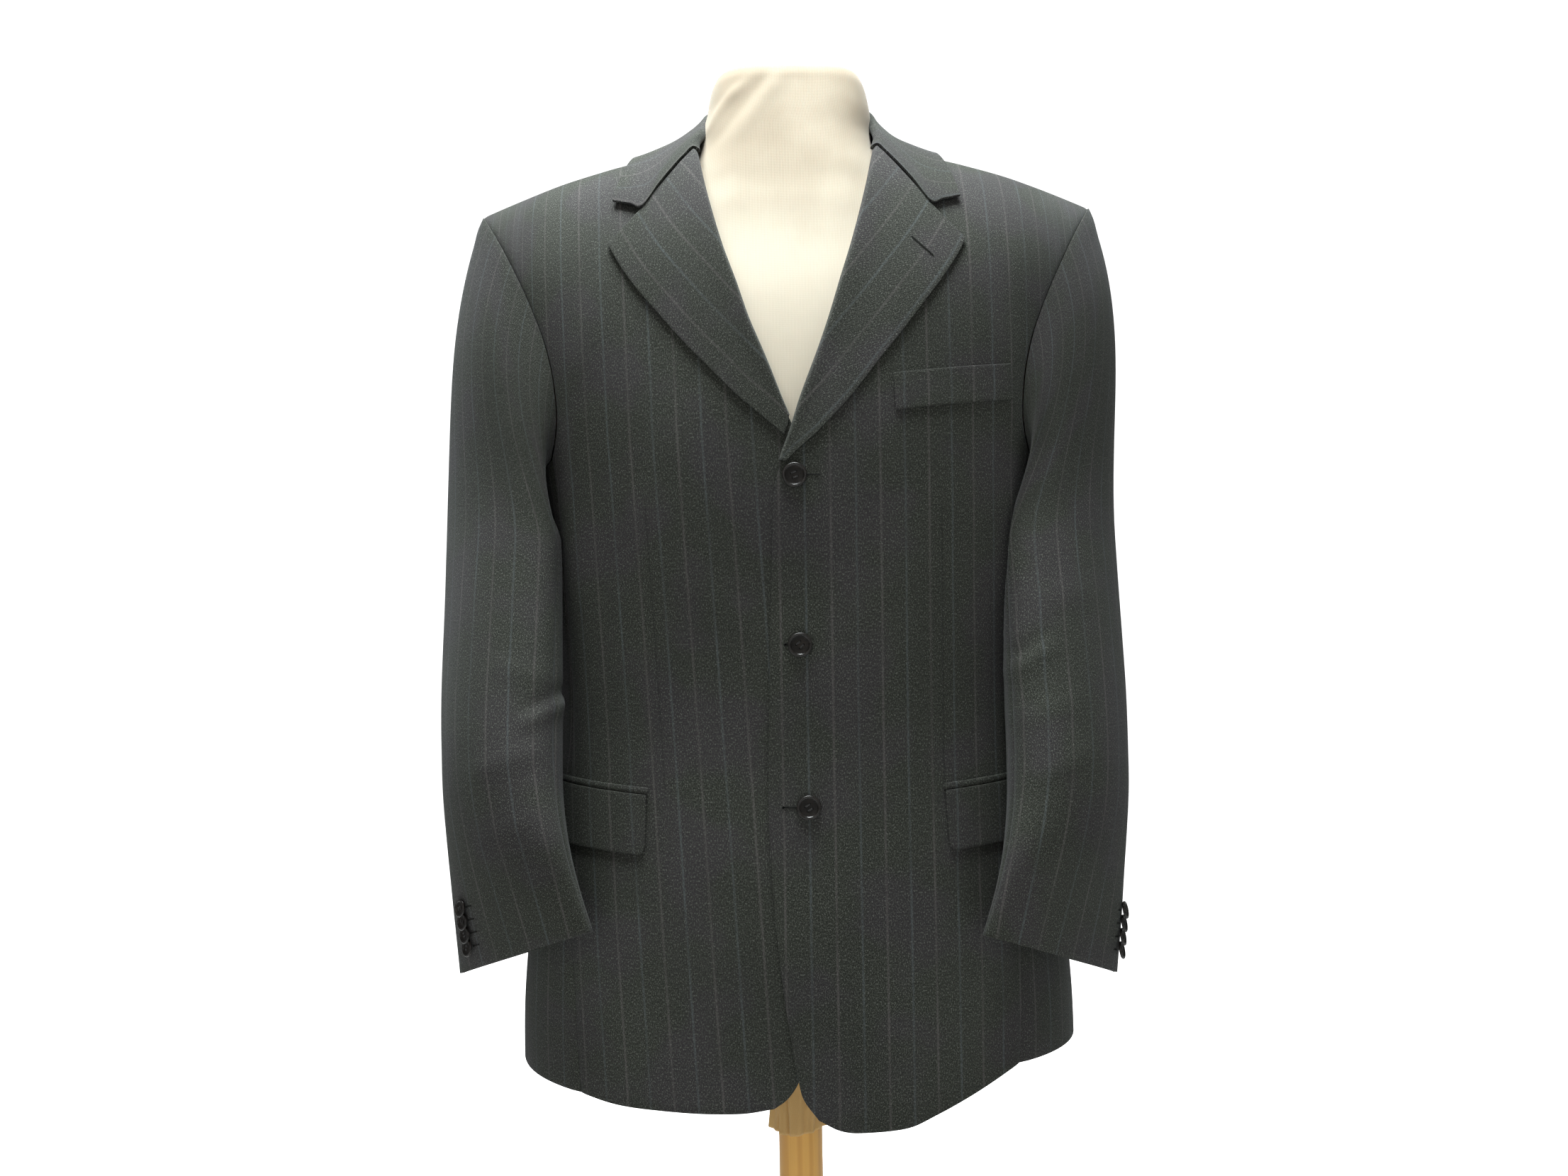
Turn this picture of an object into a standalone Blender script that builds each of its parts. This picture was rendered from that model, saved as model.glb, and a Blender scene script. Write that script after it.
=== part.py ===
"""Pinstripe suit jacket on a limbless dress form, on a wooden pole.

Metres, +Z up. The front faces -Y and the wearer's left is +X. The origin is the
centre of the base's underside. Every piece of cloth is a wall laid on one body
surface, which is worked out from the sizes below.
"""
import math
from collections import namedtuple

import bmesh
import bpy
from mathutils import Vector

MM = 0.001

# Cloth and seams
CLOTH = 1.8 * MM            # wall of the jacket's cloth, with its canvas
SEAM = 0.3 * MM             # gap between two pieces that are sewn together
LIE = 0.7 * MM              # height of a piece's underside over the panel it lies on
LAPEL = 2.2 * MM            # lapel, facing and canvas together
LAPEL_LIE = 1.1 * MM        # height of its underside over the front
COLLAR = 2.2 * MM
FLAP = 1.8 * MM
WELT = 1.4 * MM
JET = 1.6 * MM

# The body surface: level sections, each a superellipse
Level = namedtuple("Level", "height half_width front_depth back_depth")
BODY = [
    Level(0.700, 0.2465, 0.150, 0.140),
    Level(0.800, 0.2440, 0.150, 0.142),
    Level(0.900, 0.2330, 0.149, 0.138),
    Level(1.020, 0.2120, 0.145, 0.125),
    Level(1.120, 0.2120, 0.149, 0.130),
    Level(1.250, 0.2260, 0.155, 0.143),
    Level(1.350, 0.2560, 0.151, 0.150),
    Level(1.450, 0.2880, 0.150, 0.150),
    Level(1.580, 0.3100, 0.150, 0.150),
]
ROUND = 2.2                 # exponent of the level sections
SHOULDER_ROUND = 2.4        # exponent of the arch from chest over the shoulder to the back
NAPE_ROUND = 3.2            # the same at the centre back, where the nape stands fuller
NAPE_WIDTH = 0.160
CHEST = 1.280               # height at which the arch starts
ARCH = 0.300                # length given to the arch from there to the shoulder line
CREST = CHEST + ARCH        # unrolled height of the shoulder line

# Shoulder line, seen from the front
Place = namedtuple("Place", "across height")
SHOULDER = [
    Place(0.0000, 1.5690),
    Place(0.0300, 1.5660),
    Place(0.0850, 1.5460),
    Place(0.1200, 1.5325),
    Place(0.1550, 1.5238),
    Place(0.2000, 1.5115),
    Place(0.2715, 1.4865),
    Place(0.3100, 1.4730),
]
NECK_POINT = 0.0850         # where the neckline meets the shoulder line
SHOULDER_POINT = 0.2715

# Armhole, front and back, from the side seams up to the shoulder point
ARMHOLE_FRONT = [
    Place(0.2030, 1.2620),
    Place(0.1960, 1.2880),
    Place(0.1970, 1.3230),
    Place(0.2040, 1.3560),
    Place(0.2170, 1.3900),
    Place(0.2330, 1.4230),
    Place(0.2520, 1.4570),
    Place(0.2715, 1.4865),
]
ARMHOLE_BACK = [
    Place(0.2100, 1.2700),
    Place(0.2060, 1.2950),
    Place(0.2070, 1.3250),
    Place(0.2130, 1.3560),
    Place(0.2240, 1.3900),
    Place(0.2390, 1.4230),
    Place(0.2550, 1.4570),
    Place(0.2715, 1.4865),
]
ARMPIT_DROP = 0.022         # the armhole's lowest point below its two side seams

# Front edges, from the hem's round corner up to the neck point, towards the wearer's own side
EDGE_LEFT = [
    Place(0.0140, 0.7244),
    Place(0.0024, 0.7405),
    Place(-0.0014, 0.7536),
    Place(-0.0066, 0.7841),
    Place(-0.0136, 0.8356),
    Place(-0.0189, 0.8948),
    Place(-0.0220, 0.9544),
    Place(-0.0219, 1.0086),
    Place(-0.0202, 1.0643),
    Place(-0.0183, 1.1239),
    Place(-0.0158, 1.1893),
    Place(-0.0135, 1.2286),
    Place(-0.0087, 1.2482),
    Place(0.0031, 1.2779),
    Place(0.0115, 1.3020),
    Place(0.0260, 1.3400),
    Place(0.0350, 1.3660),
    Place(0.0440, 1.3950),
    Place(0.0550, 1.4300),
    Place(0.0670, 1.4750),
    Place(0.0755, 1.5130),
    Place(0.0800, 1.5310),
    Place(0.0850, 1.5460),
]
EDGE_RIGHT = [
    Place(0.0215, 0.7334),
    Place(0.0112, 0.7407),
    Place(0.0020, 0.7536),
    Place(-0.0060, 0.7750),
    Place(-0.0130, 0.8200),
    Place(-0.0170, 0.8800),
    Place(-0.0180, 1.0000),
    Place(-0.0180, 1.1200),
    Place(-0.0175, 1.2000),
    Place(-0.0150, 1.2350),
    Place(-0.0100, 1.2600),
    Place(-0.0020, 1.2790),
    Place(0.0085, 1.3020),
    Place(0.0240, 1.3400),
    Place(0.0345, 1.3660),
    Place(0.0440, 1.3950),
    Place(0.0560, 1.4300),
    Place(0.0680, 1.4750),
    Place(0.0760, 1.5130),
    Place(0.0800, 1.5310),
    Place(0.0850, 1.5460),
]

# Hems, from the front corner round to the side seam
HEM_LEFT = [
    Place(0.0140, 0.7244),
    Place(0.0297, 0.7161),
    Place(0.0455, 0.7132),
    Place(0.0855, 0.7138),
    Place(0.1106, 0.7225),
    Place(0.1398, 0.7345),
    Place(0.1791, 0.7520),
    Place(0.2100, 0.7650),
]
HEM_RIGHT = [
    Place(0.0215, 0.7334),
    Place(0.0453, 0.7294),
    Place(0.0772, 0.7282),
    Place(0.1136, 0.7287),
    Place(0.1511, 0.7299),
    Place(0.1791, 0.7340),
    Place(0.2100, 0.7400),
]
HEM_BACK = 0.7560           # height of the hem at the centre back

# Side seams: angle round the body from the centre front, by share of the way up to the armhole
Seam = namedtuple("Seam", "share front back")
SIDE_SEAMS = [
    Seam(0.00, 46.0, 122.0),
    Seam(0.20, 50.0, 122.0),
    Seam(0.45, 61.0, 121.0),
    Seam(0.75, 65.0, 117.0),
    Seam(1.00, 62.0, 114.0),
]

# Lapels: outer edge, from the V's bottom up to the lapel point
LAPEL_EDGE_LEFT = [
    Place(-0.0110, 1.2450),
    Place(-0.0045, 1.2505),
    Place(0.0050, 1.2598),
    Place(0.0210, 1.2735),
    Place(0.0480, 1.3020),
    Place(0.0725, 1.3330),
    Place(0.0897, 1.3540),
    Place(0.1089, 1.3790),
    Place(0.1225, 1.3968),
    Place(0.1370, 1.4180),
    Place(0.1460, 1.4346),
]
LAPEL_EDGE_RIGHT = [
    Place(-0.0020, 1.2660),
    Place(0.0040, 1.2710),
    Place(0.0166, 1.2822),
    Place(0.0420, 1.3043),
    Place(0.0635, 1.3267),
    Place(0.0834, 1.3477),
    Place(0.1045, 1.3728),
    Place(0.1245, 1.3975),
    Place(0.1360, 1.4146),
    Place(0.1470, 1.4346),
]
GORGE_HEIGHT = 1.5190       # where the gorge seam meets the roll line
NOTCH_SHARE = 0.5956        # where the notch lies along the lapel's top edge
LAPEL_POINT_HEIGHT = 1.4346
LAPEL_ROLL = 1.6 * MM       # how far the fold stands out past the roll line

# The left front laps over the right one
LAP_FULL, LAP_NONE = 0.035, 0.075
LAP_RISE = CLOTH + 2 * SEAM

# Collar, one half, from the gorge (station 0) by the shoulder line to the centre back (station 1)
# The fold is a place in space; middle and edge are places on the body, with a rise over it
Collar = namedtuple("Collar", "station fold_x fold_y fold_z mid_x mid_w mid_rise edge_x edge_w")
COLLAR_HALF = [
    Collar(0.00, 0.0790, -0.0960, 1.5230, 0.1182, 0.4888, 0.0029, 0.1440, 0.5386),
    Collar(0.12, 0.0768, -0.0720, 1.5370, 0.1110, 0.620, 0.0030, 0.1395, 0.628),
    Collar(0.28, 0.0745, -0.0400, 1.5560, 0.1000, 0.780, 0.0034, 0.1325, 0.780),
    Collar(0.46, 0.0722, 0.0000, 1.5770, 0.0935, 0.975, 0.0042, 0.1265, 0.990),
    Collar(0.64, 0.0640, 0.0290, 1.5870, 0.0800, 1.120, 0.0070, 0.1045, 1.163),
    Collar(0.82, 0.0385, 0.0550, 1.5955, 0.0457, 1.200, 0.0100, 0.0574, 1.284),
    Collar(1.00, 0.0000, 0.0655, 1.5995, 0.0000, 1.220, 0.0105, 0.0000, 1.300),
]
COLLAR_STATIONS = [0.0, 0.06, 0.13, 0.22, 0.32, 0.40, 0.46, 0.55, 0.64, 0.73, 0.82, 0.91, 1.0]
COLLAR_LEAF = [0.0, 0.12, 0.30, 0.50, 0.68, 0.84, 0.94]     # shares of the way from edge to fold
COLLAR_SWEEP = 2.0          # how hollow the leaf is where it climbs to the fold
COLLAR_SHOULDER = 0.46      # station at which the collar passes the shoulder line
GORGE_SHARE = 0.678         # share of the arch at which the gorge meets the front's edge
NECK_BACK = 0.072           # how far the neck seam lies behind the shoulder line at the centre back
NECK_LEAN = 0.0035          # the neck and the collar's fold stand this much to the wearer's left

# Sleeve tube: level sections, each an ellipse whose long axis is turned towards the back
Tube = namedtuple("Tube", "height out forward long short turn tilt")
SLEEVE = [
    Tube(1.190, 0.2415, 0.050, 0.0730, 0.0370, 48, 0.000),
    Tube(1.150, 0.2412, 0.058, 0.0735, 0.0395, 50, 0.000),
    Tube(1.100, 0.2405, 0.070, 0.0740, 0.0420, 52, 0.000),
    Tube(1.060, 0.2398, 0.079, 0.0740, 0.0440, 54, 0.001),
    Tube(1.020, 0.2388, 0.088, 0.0740, 0.0440, 55, 0.003),
    Tube(0.980, 0.2372, 0.096, 0.0740, 0.0410, 52, 0.007),
    Tube(0.940, 0.2330, 0.103, 0.0745, 0.0350, 47, 0.013),
    Tube(0.895, 0.2271, 0.105, 0.0760, 0.0260, 41, 0.021),
    Tube(0.850, 0.2195, 0.104, 0.0785, 0.0190, 37, 0.028),
]
SWING = 0.0090              # the right sleeve hangs out and the left one in by this much
SWING_CUFF = 0.0085         # the same at the cuff
CUFF_LOWER = 0.008          # the left cuff hangs this much lower
SLEEVE_CLEAR = 6.5 * MM     # least distance from the sleeve to the body of the jacket
# Way the sleeve leaves the armhole: along the hole, out of the body and down
Leave = namedtuple("Leave", "hole out down")
LEAVE_TOP = Leave(0.40, 0.05, 0.92)
LEAVE_SIDE = Leave(0.38, 0.30, 0.87)
LEAVE_PIT = Leave(0.05, 0.75, 0.62)

# Pockets
FLAP_FRONT, FLAP_BACK = 0.1215, 0.2060
FLAP_TOP_FRONT, FLAP_TOP_BACK = 0.9830, 0.9880
FLAP_HEIGHT = 0.0490
FLAP_CORNER = 0.007
JET_HEIGHT = 0.0055
WELT_CORNERS = [Place(0.0843, 1.2911), Place(0.1835, 1.3034), Place(0.1818, 1.3326), Place(0.0832, 1.3214)]

# Buttons
BUTTON = 0.0200
BUTTON_THICK = 3.6 * MM
BUTTONS = [Place(0.0025, 1.2399), Place(0.0048, 1.1048), Place(0.0098, 0.9740)]
CUFF_BUTTON = 0.0150
CUFF_BUTTON_THICK = 2.4 * MM
CUFF_BUTTONS = 4
CUFF_PITCH = 0.0116
CUFF_FROM_HEM = 0.0190
CUFF_COLUMN = {"left": -0.4, "right": 1.2}      # column of the sleeve that they sit on
CUFF_LEAN = 17.0            # each cuff button overlies the next one down

# Dress form: level sections up to the armhole, then the body's own arch, then the neck
FORM = [
    Level(0.780, 0.1200, 0.080, 0.080),
    Level(0.786, 0.1500, 0.105, 0.100),
    Level(0.810, 0.1680, 0.120, 0.115),
    Level(0.880, 0.1800, 0.128, 0.120),
    Level(0.960, 0.1800, 0.126, 0.110),
    Level(1.050, 0.1720, 0.124, 0.102),
    Level(1.150, 0.1850, 0.136, 0.116),
    Level(1.250, 0.2060, 0.147, 0.131),
    Level(1.350, 0.2200, 0.145, 0.138),
    Level(1.450, 0.2280, 0.144, 0.138),
    Level(1.600, 0.2300, 0.144, 0.138),
]
NECK = [
    Level(1.440, 0.1000, 0.1145, 0.085),
    Level(1.500, 0.0860, 0.0965, 0.070),
    Level(1.530, 0.0748, 0.0865, 0.058),
    Level(1.560, 0.0677, 0.0768, 0.053),
    Level(1.585, 0.0645, 0.0690, 0.050),
    Level(1.596, 0.0625, 0.065, 0.048),
    Level(1.602, 0.0580, 0.059, 0.043),
    Level(1.605, 0.0470, 0.047, 0.034),
]
FORM_RINGS = [
    0.780, 0.783, 0.795, 0.825, 0.880, 0.940, 1.000, 1.060, 1.120, 1.180, 1.240, 1.290, 1.340, 1.390,
    1.430, 1.460, 1.480, 1.495, 1.510, 1.523, 1.536, 1.550, 1.568, 1.584, 1.596, 1.602, 1.605,
]
FORM_SIDES = 32
FORM_ROUND = 1.9            # exponent of the form's own arch, rounder than the cloth's
SHOULDER_REST = 0.8 * MM    # the cloth rests this far over the form's shoulders
NECK_REST = 3.2 * MM        # and this much further over them beside the neck
NECK_START = 1.470
NECK_ROUND = 2.3            # exponent of the neck's level sections in front

# Stand
POLE_RADIUS = 0.0196
POLE_SIDES = 28
TAIL_TOP, TAIL_BOTTOM = 0.7797, 0.6700
TAIL_PLEATS = 11
BASE_RADIUS, BASE_HEIGHT = 0.200, 0.022
BASE_SIDES = 48

# Rows and columns of the walls
SEAM_ROWS = [0.00, 0.035, 0.08, 0.16, 0.26, 0.37, 0.48, 0.60, 0.72, 0.85, 1.00]
ARMHOLE_ROWS = [0.11, 0.22, 0.34, 0.46, 0.58, 0.70, 0.81, 0.91, 1.00]
FRONT_COLUMNS = [0.00, 0.10, 0.20, 0.32, 0.45, 0.58, 0.72, 0.86, 1.00]
BACK_COLUMNS = [0.00, 0.11, 0.195, 0.257, 0.294, 0.3131, 0.45, 0.62, 0.81, 1.00]
SIDE_COLUMNS = 4
CAP_ROWS = [0.0, 0.06, 0.15, 0.28, 0.44, 0.62, 0.81, 1.0]
SLEEVE_COLUMNS = 2 * len(ARMHOLE_ROWS) + SIDE_COLUMNS
FRONT_SEAM_COLUMN = len(ARMHOLE_ROWS)
BACK_SEAM_COLUMN = {"left": SLEEVE_COLUMNS - 2, "right": SLEEVE_COLUMNS - 1}
STEP = 1e-4                 # distance over which slopes are measured


def smooth(table, key, value, column):
    """Read a column of a table at a value of its key, along a smooth curve."""
    keys = [getattr(row, key) for row in table]
    values = [getattr(row, column) for row in table]
    last = len(keys) - 1

    def slope(k):
        low, high = max(k - 1, 0), min(k + 1, last)
        return (values[high] - values[low]) / (keys[high] - keys[low])

    if value <= keys[0]:
        return values[0] + (value - keys[0]) * slope(0)
    if value >= keys[last]:
        return values[last] + (value - keys[last]) * slope(last)
    i = max(k for k in range(last) if keys[k] <= value)
    span = keys[i + 1] - keys[i]
    return hermite(values[i], slope(i) * span, values[i + 1], slope(i + 1) * span, (value - keys[i]) / span)


def hermite(start, leave, end, arrive, t):
    """Cubic from start to end with the given tangents."""
    return (start * (2 * t**3 - 3 * t**2 + 1) + leave * (t**3 - 2 * t**2 + t)
            + end * (3 * t**2 - 2 * t**3) + arrive * (t**3 - t**2))


def ease(t):
    t = min(1.0, max(0.0, t))
    return t * t * (3 - 2 * t)


def mix(a, b, t):
    return a + (b - a) * t


def ridge(x):
    """Height of the shoulder line."""
    return smooth(SHOULDER, "across", abs(x), "height")


def arch_round(x, back):
    """Exponent of the arch, fuller at the nape."""
    return mix(NAPE_ROUND, SHOULDER_ROUND, ease(abs(x) / NAPE_WIDTH)) if back else SHOULDER_ROUND


def unroll(x, z, back=False):
    """Unrolled height of a place on the front or back."""
    if z <= CHEST:
        return z
    share = min(1.0, (z - CHEST) / (ridge(x) - CHEST))
    return CHEST + ARCH * math.asin(share ** (arch_round(x, back) / 2)) / (math.pi / 2)


def body(x, w, back=False):
    """Point of the body surface at x and unrolled height w, on the front or back."""
    if w > CREST:
        w, back = 2 * CREST - w, not back
    turn = max(0.0, w - CHEST) / ARCH * math.pi / 2
    power = 2 / arch_round(x, back)
    z = w if w <= CHEST else CHEST + (ridge(x) - CHEST) * math.sin(turn) ** power
    half_width = smooth(BODY, "height", z, "half_width")
    depth = smooth(BODY, "height", z, "back_depth" if back else "front_depth")
    y = depth * (1 - min(1.0, abs(x) / half_width) ** ROUND) ** (1 / ROUND)
    y *= max(0.0, math.cos(turn)) ** power
    return Vector((x, y if back else -y, z))


def body_normal(x, w, back=False):
    """Outward normal of the body surface."""
    low = min(w, CREST - 2 * STEP) if w <= CREST else max(w, CREST + 2 * STEP)
    across = body(x + STEP, low, back) - body(x - STEP, low, back)
    up = body(x, low + STEP, back) - body(x, low - STEP, back)
    normal = across.cross(up).normalized()
    return -normal if back else normal


def girth(angle, z):
    """Point and outward normal of the body surface below the chest, by angle from the front."""
    def point(a, height):
        half_width = smooth(BODY, "height", height, "half_width")
        column = "front_depth" if math.cos(a) > 0 else "back_depth"
        depth = smooth(BODY, "height", height, column)
        x = half_width * abs(math.sin(a)) ** (2 / ROUND)
        y = depth * abs(math.cos(a)) ** (2 / ROUND)
        return Vector((x, math.copysign(y, -math.cos(a)), height))
    around = point(angle + STEP, z) - point(angle - STEP, z)
    up = point(angle, z + STEP) - point(angle, z - STEP)
    return point(angle, z), around.cross(up).normalized()


def lap(x):
    """Rise of the left front over the right one."""
    return LAP_RISE * ease((LAP_NONE - x) / (LAP_NONE - LAP_FULL))


def mirrored(point, side):
    """A point made for the left side, taken to the given side (+1 left, -1 right)."""
    return Vector((point.x * side, point.y, point.z))


def surface(name, colour, roughness):
    material = bpy.data.materials.new(name)
    material.use_nodes = True
    shader = material.node_tree.nodes["Principled BSDF"]
    shader.inputs["Base Color"].default_value = (*colour, 1.0)
    shader.inputs["Roughness"].default_value = roughness
    shader.inputs["Metallic"].default_value = 0.0
    return material


def place(name, bm, material):
    """Make an object of a bmesh."""
    bmesh.ops.recalc_face_normals(bm, faces=bm.faces[:])
    mesh = bpy.data.meshes.new(name)
    bm.to_mesh(mesh)
    bm.free()
    mesh.materials.append(material)
    mesh.shade_smooth()
    mesh.set_sharp_from_angle(angle=math.radians(40))
    bpy.context.collection.objects.link(bpy.data.objects.new(name, mesh))


def wall(name, outer, inner, material):
    """A closed wall between two grids of points, given row by row."""
    rows, columns = len(outer), len(outer[0])
    bm = bmesh.new()
    bmesh.ops.create_grid(bm, x_segments=columns - 1, y_segments=rows - 1, size=1.0)
    number = bm.verts.layers.int.new("number")
    for index, vert in enumerate(bm.verts):
        vert[number] = index
        vert.co = outer[index // columns][index % columns]
    grown = bmesh.ops.extrude_face_region(bm, geom=bm.faces[:], use_keep_orig=True)["geom"]
    for vert in (item for item in grown if isinstance(item, bmesh.types.BMVert)):
        vert.co = inner[vert[number] // columns][vert[number] % columns]
    place(name, bm, material)


def turned(name, profile, sides, material, centre, axis):
    """A body turned from a profile of radius and height about an axis."""
    bm = bmesh.new()
    turn = Vector((0, 0, 1)).rotation_difference(axis).to_matrix()
    rings = []
    for radius, height in profile:
        ring = []
        for k in range(sides):
            angle = 2 * math.pi * k / sides
            spot = Vector((radius * math.cos(angle), radius * math.sin(angle), height))
            ring.append(bm.verts.new(centre + turn @ spot))
        rings.append(ring)
    skin(bm, rings)
    place(name, bm, material)


def skin(bm, rings):
    """Join closed rings of vertices into a tube and close both its ends."""
    for low, high in zip(rings, rings[1:]):
        for k in range(len(low)):
            n = (k + 1) % len(low)
            bm.faces.new((low[k], low[n], high[n], high[k]))
    bm.faces.new(rings[0][::-1])
    bm.faces.new(rings[-1])


def armhole_place(table, w):
    """Place on an armhole at an unrolled height."""
    back = table is ARMHOLE_BACK
    low, high = table[0].height, table[-1].height
    for _ in range(40):
        z = (low + high) / 2
        x = smooth(table, "height", z, "across")
        low, high = (z, high) if unroll(x, z, back) < w else (low, z)
    return smooth(table, "height", high, "across")


class Side:
    """The sizes of one side of the jacket: +1 is the wearer's left, -1 the right."""

    def __init__(self, sign, edge, hem, lapel_edge):
        self.sign = sign
        self.edge = edge
        self.hem = hem
        self.lapel_edge = lapel_edge
        self.name = "left" if sign > 0 else "right"
        half_width = smooth(BODY, "height", hem[-1].height, "half_width")
        seam_x = half_width * math.sin(math.radians(SIDE_SEAMS[0].front)) ** (2 / ROUND)
        self.hem_side = smooth(hem, "across", seam_x, "height")

    def rise(self, x):
        return lap(x) if self.sign > 0 else 0.0

    def side_seam(self, share, back, gap):
        """Angle and height of a side seam, moved by a gap round the body."""
        armhole = (ARMHOLE_BACK if back else ARMHOLE_FRONT)[0]
        foot = mix(self.hem_side, HEM_BACK, 0.5) if back else self.hem_side
        angle = math.radians(smooth(SIDE_SEAMS, "share", share, "back" if back else "front"))
        half_width = smooth(BODY, "height", armhole.height, "half_width")
        top = math.asin((armhole.across / half_width) ** (ROUND / 2))
        top = math.pi - top if back else top
        drawn = math.radians(SIDE_SEAMS[-1].back if back else SIDE_SEAMS[-1].front)
        return angle + (top - drawn) * share + gap, mix(foot, armhole.height, share)


def outline_of(side, back, gap):
    """Places down the outer edge of a front or back: its side seam, then its armhole."""
    table = ARMHOLE_BACK if back else ARMHOLE_FRONT
    outline = []
    for share in SEAM_ROWS:
        angle, z = side.side_seam(share, back, gap)
        outline.append((girth(angle, z)[0].x, z))
    for share in ARMHOLE_ROWS:
        w = mix(table[0].height, CREST, share)
        outline.append((SHOULDER_POINT if share == 1 else armhole_place(table, w), w))
    return outline


SEAM_TURN = 1.1 * MM        # half a seam's gap as an angle round the body, in radians


def front_grid(side):
    """Outer points and normals of a front, rows from hem to shoulder."""
    outline = outline_of(side, False, -SEAM_TURN)
    corner = side.edge[0]
    low, high = outline[0][1], outline[-1][1]
    points, normals = [], []
    for x_out, w_out in outline:
        share = (w_out - low) / (high - low)
        w_in = w_out + (corner.height - low) * (1 - share) ** 6
        x_in = edge_across(side, w_in)
        row, turned_row = [], []
        for u in FRONT_COLUMNS:
            x, w = mix(x_in, x_out, u), mix(w_in, w_out, u)
            if share == 0 and u < 1:
                w = smooth(side.hem, "across", x, "height")
            w = min(w, CREST - SEAM)
            normal = body_normal(x, w)
            row.append(body(x, w) + normal * side.rise(x))
            turned_row.append(normal)
        points.append(row)
        normals.append(turned_row)
    return points, normals


def edge_across(side, w):
    """Place across of a front's inner edge at an unrolled height."""
    x = 0.05
    for _ in range(12):
        x = smooth(side.edge, "height", body(x, w).z, "across")
    return x


def back_neckline(x):
    """Unrolled height of the back's neck seam, which runs round an oval."""
    if x >= NECK_POINT:
        return CREST
    wanted = NECK_BACK * math.sqrt(1 - (x / NECK_POINT) ** 2)
    low, high = CHEST, CREST
    for _ in range(30):
        middle = (low + high) / 2
        low, high = (middle, high) if body(x, middle, True).y > wanted else (low, middle)
    return low


def back_grid(side):
    """Outer points and normals of a back, from the centre seam to the side seam."""
    outline = outline_of(side, True, SEAM_TURN)
    low, high = outline[0][1], outline[-1][1]
    points, normals = [], []
    for x_out, w_out in outline:
        share = (w_out - low) / (high - low)
        row, turned_row = [], []
        for u in BACK_COLUMNS:
            x = mix(SEAM * 0.7, x_out, u)
            top = back_neckline(u * SHOULDER_POINT)
            w = min(mix(mix(HEM_BACK, low, ease(u)), top, share), CREST - SEAM)
            normal = body_normal(x, w, True)
            if u == 0:
                normal = Vector((0, normal.y, normal.z)).normalized()
            row.append(body(x, w, True))
            turned_row.append(normal)
        points.append(row)
        normals.append(turned_row)
    return points, normals


def side_grid(side):
    """Outer points and normals of a side panel."""
    points, normals = [], []
    for share in SEAM_ROWS:
        start, z_start = side.side_seam(share, False, SEAM_TURN)
        end, z_end = side.side_seam(share, True, -SEAM_TURN)
        row, turned_row = [], []
        for c in range(SIDE_COLUMNS + 1):
            u = c / SIDE_COLUMNS
            drop = ARMPIT_DROP * math.sin(math.pi * u) * ease((share - 0.6) / 0.4)
            point, normal = girth(mix(start, end, u), mix(z_start, z_end, u) - drop)
            row.append(point)
            turned_row.append(normal)
        points.append(row)
        normals.append(turned_row)
    return points, normals


def panel(name, side, grid, material):
    """A wall of cloth under a grid of outer points."""
    points, normals = grid
    outer = [[mirrored(p, side.sign) for p in row] for row in points]
    inner = [[mirrored(p - n * CLOTH, side.sign) for p, n in zip(row, turned_row)]
             for row, turned_row in zip(points, normals)]
    wall(name, outer, inner, material)


def armhole_loop(front, side_panel, back):
    """Points and normals round the armhole, from the shoulder point by the front and the armpit."""
    first = len(SEAM_ROWS) - 1
    loop = [(front[0][r][-1], front[1][r][-1]) for r in range(len(front[0]) - 1, first - 1, -1)]
    loop += [(side_panel[0][-1][c], side_panel[1][-1][c]) for c in range(1, SIDE_COLUMNS)]
    loop += [(back[0][r][-1], back[1][r][-1]) for r in range(first, len(back[0]) - 1)]
    return loop


def off_body(point, gap):
    """A point below the armhole, moved out of the body until it is a gap away from it."""
    half_width = smooth(BODY, "height", point.z, "half_width")
    depth = smooth(BODY, "height", point.z, "front_depth" if point.y < 0 else "back_depth")
    reach = ((abs(point.x) / half_width) ** ROUND + (abs(point.y) / depth) ** ROUND) ** (1 / ROUND)
    flat = Vector((point.x, point.y, 0))
    wanted = flat.length / reach + gap
    if flat.length >= wanted:
        return point
    flat = flat.normalized() * wanted
    return Vector((flat.x, flat.y, point.z))


def tube_point(side, level, column):
    """Point of the sleeve's tube at a level, for a column counted from the outer side."""
    section = {name: smooth(SLEEVE[::-1], "height", level, name) for name in Tube._fields[1:]}
    low = ease((SLEEVE[0].height - level) / (SLEEVE[0].height - SLEEVE[-1].height))
    turn = math.radians(section["turn"])
    angle = 2 * math.pi * column / SLEEVE_COLUMNS + turn
    along = Vector((math.cos(turn), math.sin(turn), 0))
    across = Vector((math.sin(turn), -math.cos(turn), 0))
    out = section["out"] - side.sign * mix(SWING, SWING_CUFF, low)
    centre = Vector((out, -section["forward"], level))
    if side.sign > 0:
        centre.z -= CUFF_LOWER * low
    point = centre + along * section["long"] * math.cos(angle) + across * section["short"] * math.sin(angle)
    point.z -= section["tilt"] * math.cos(angle)
    return point


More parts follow.
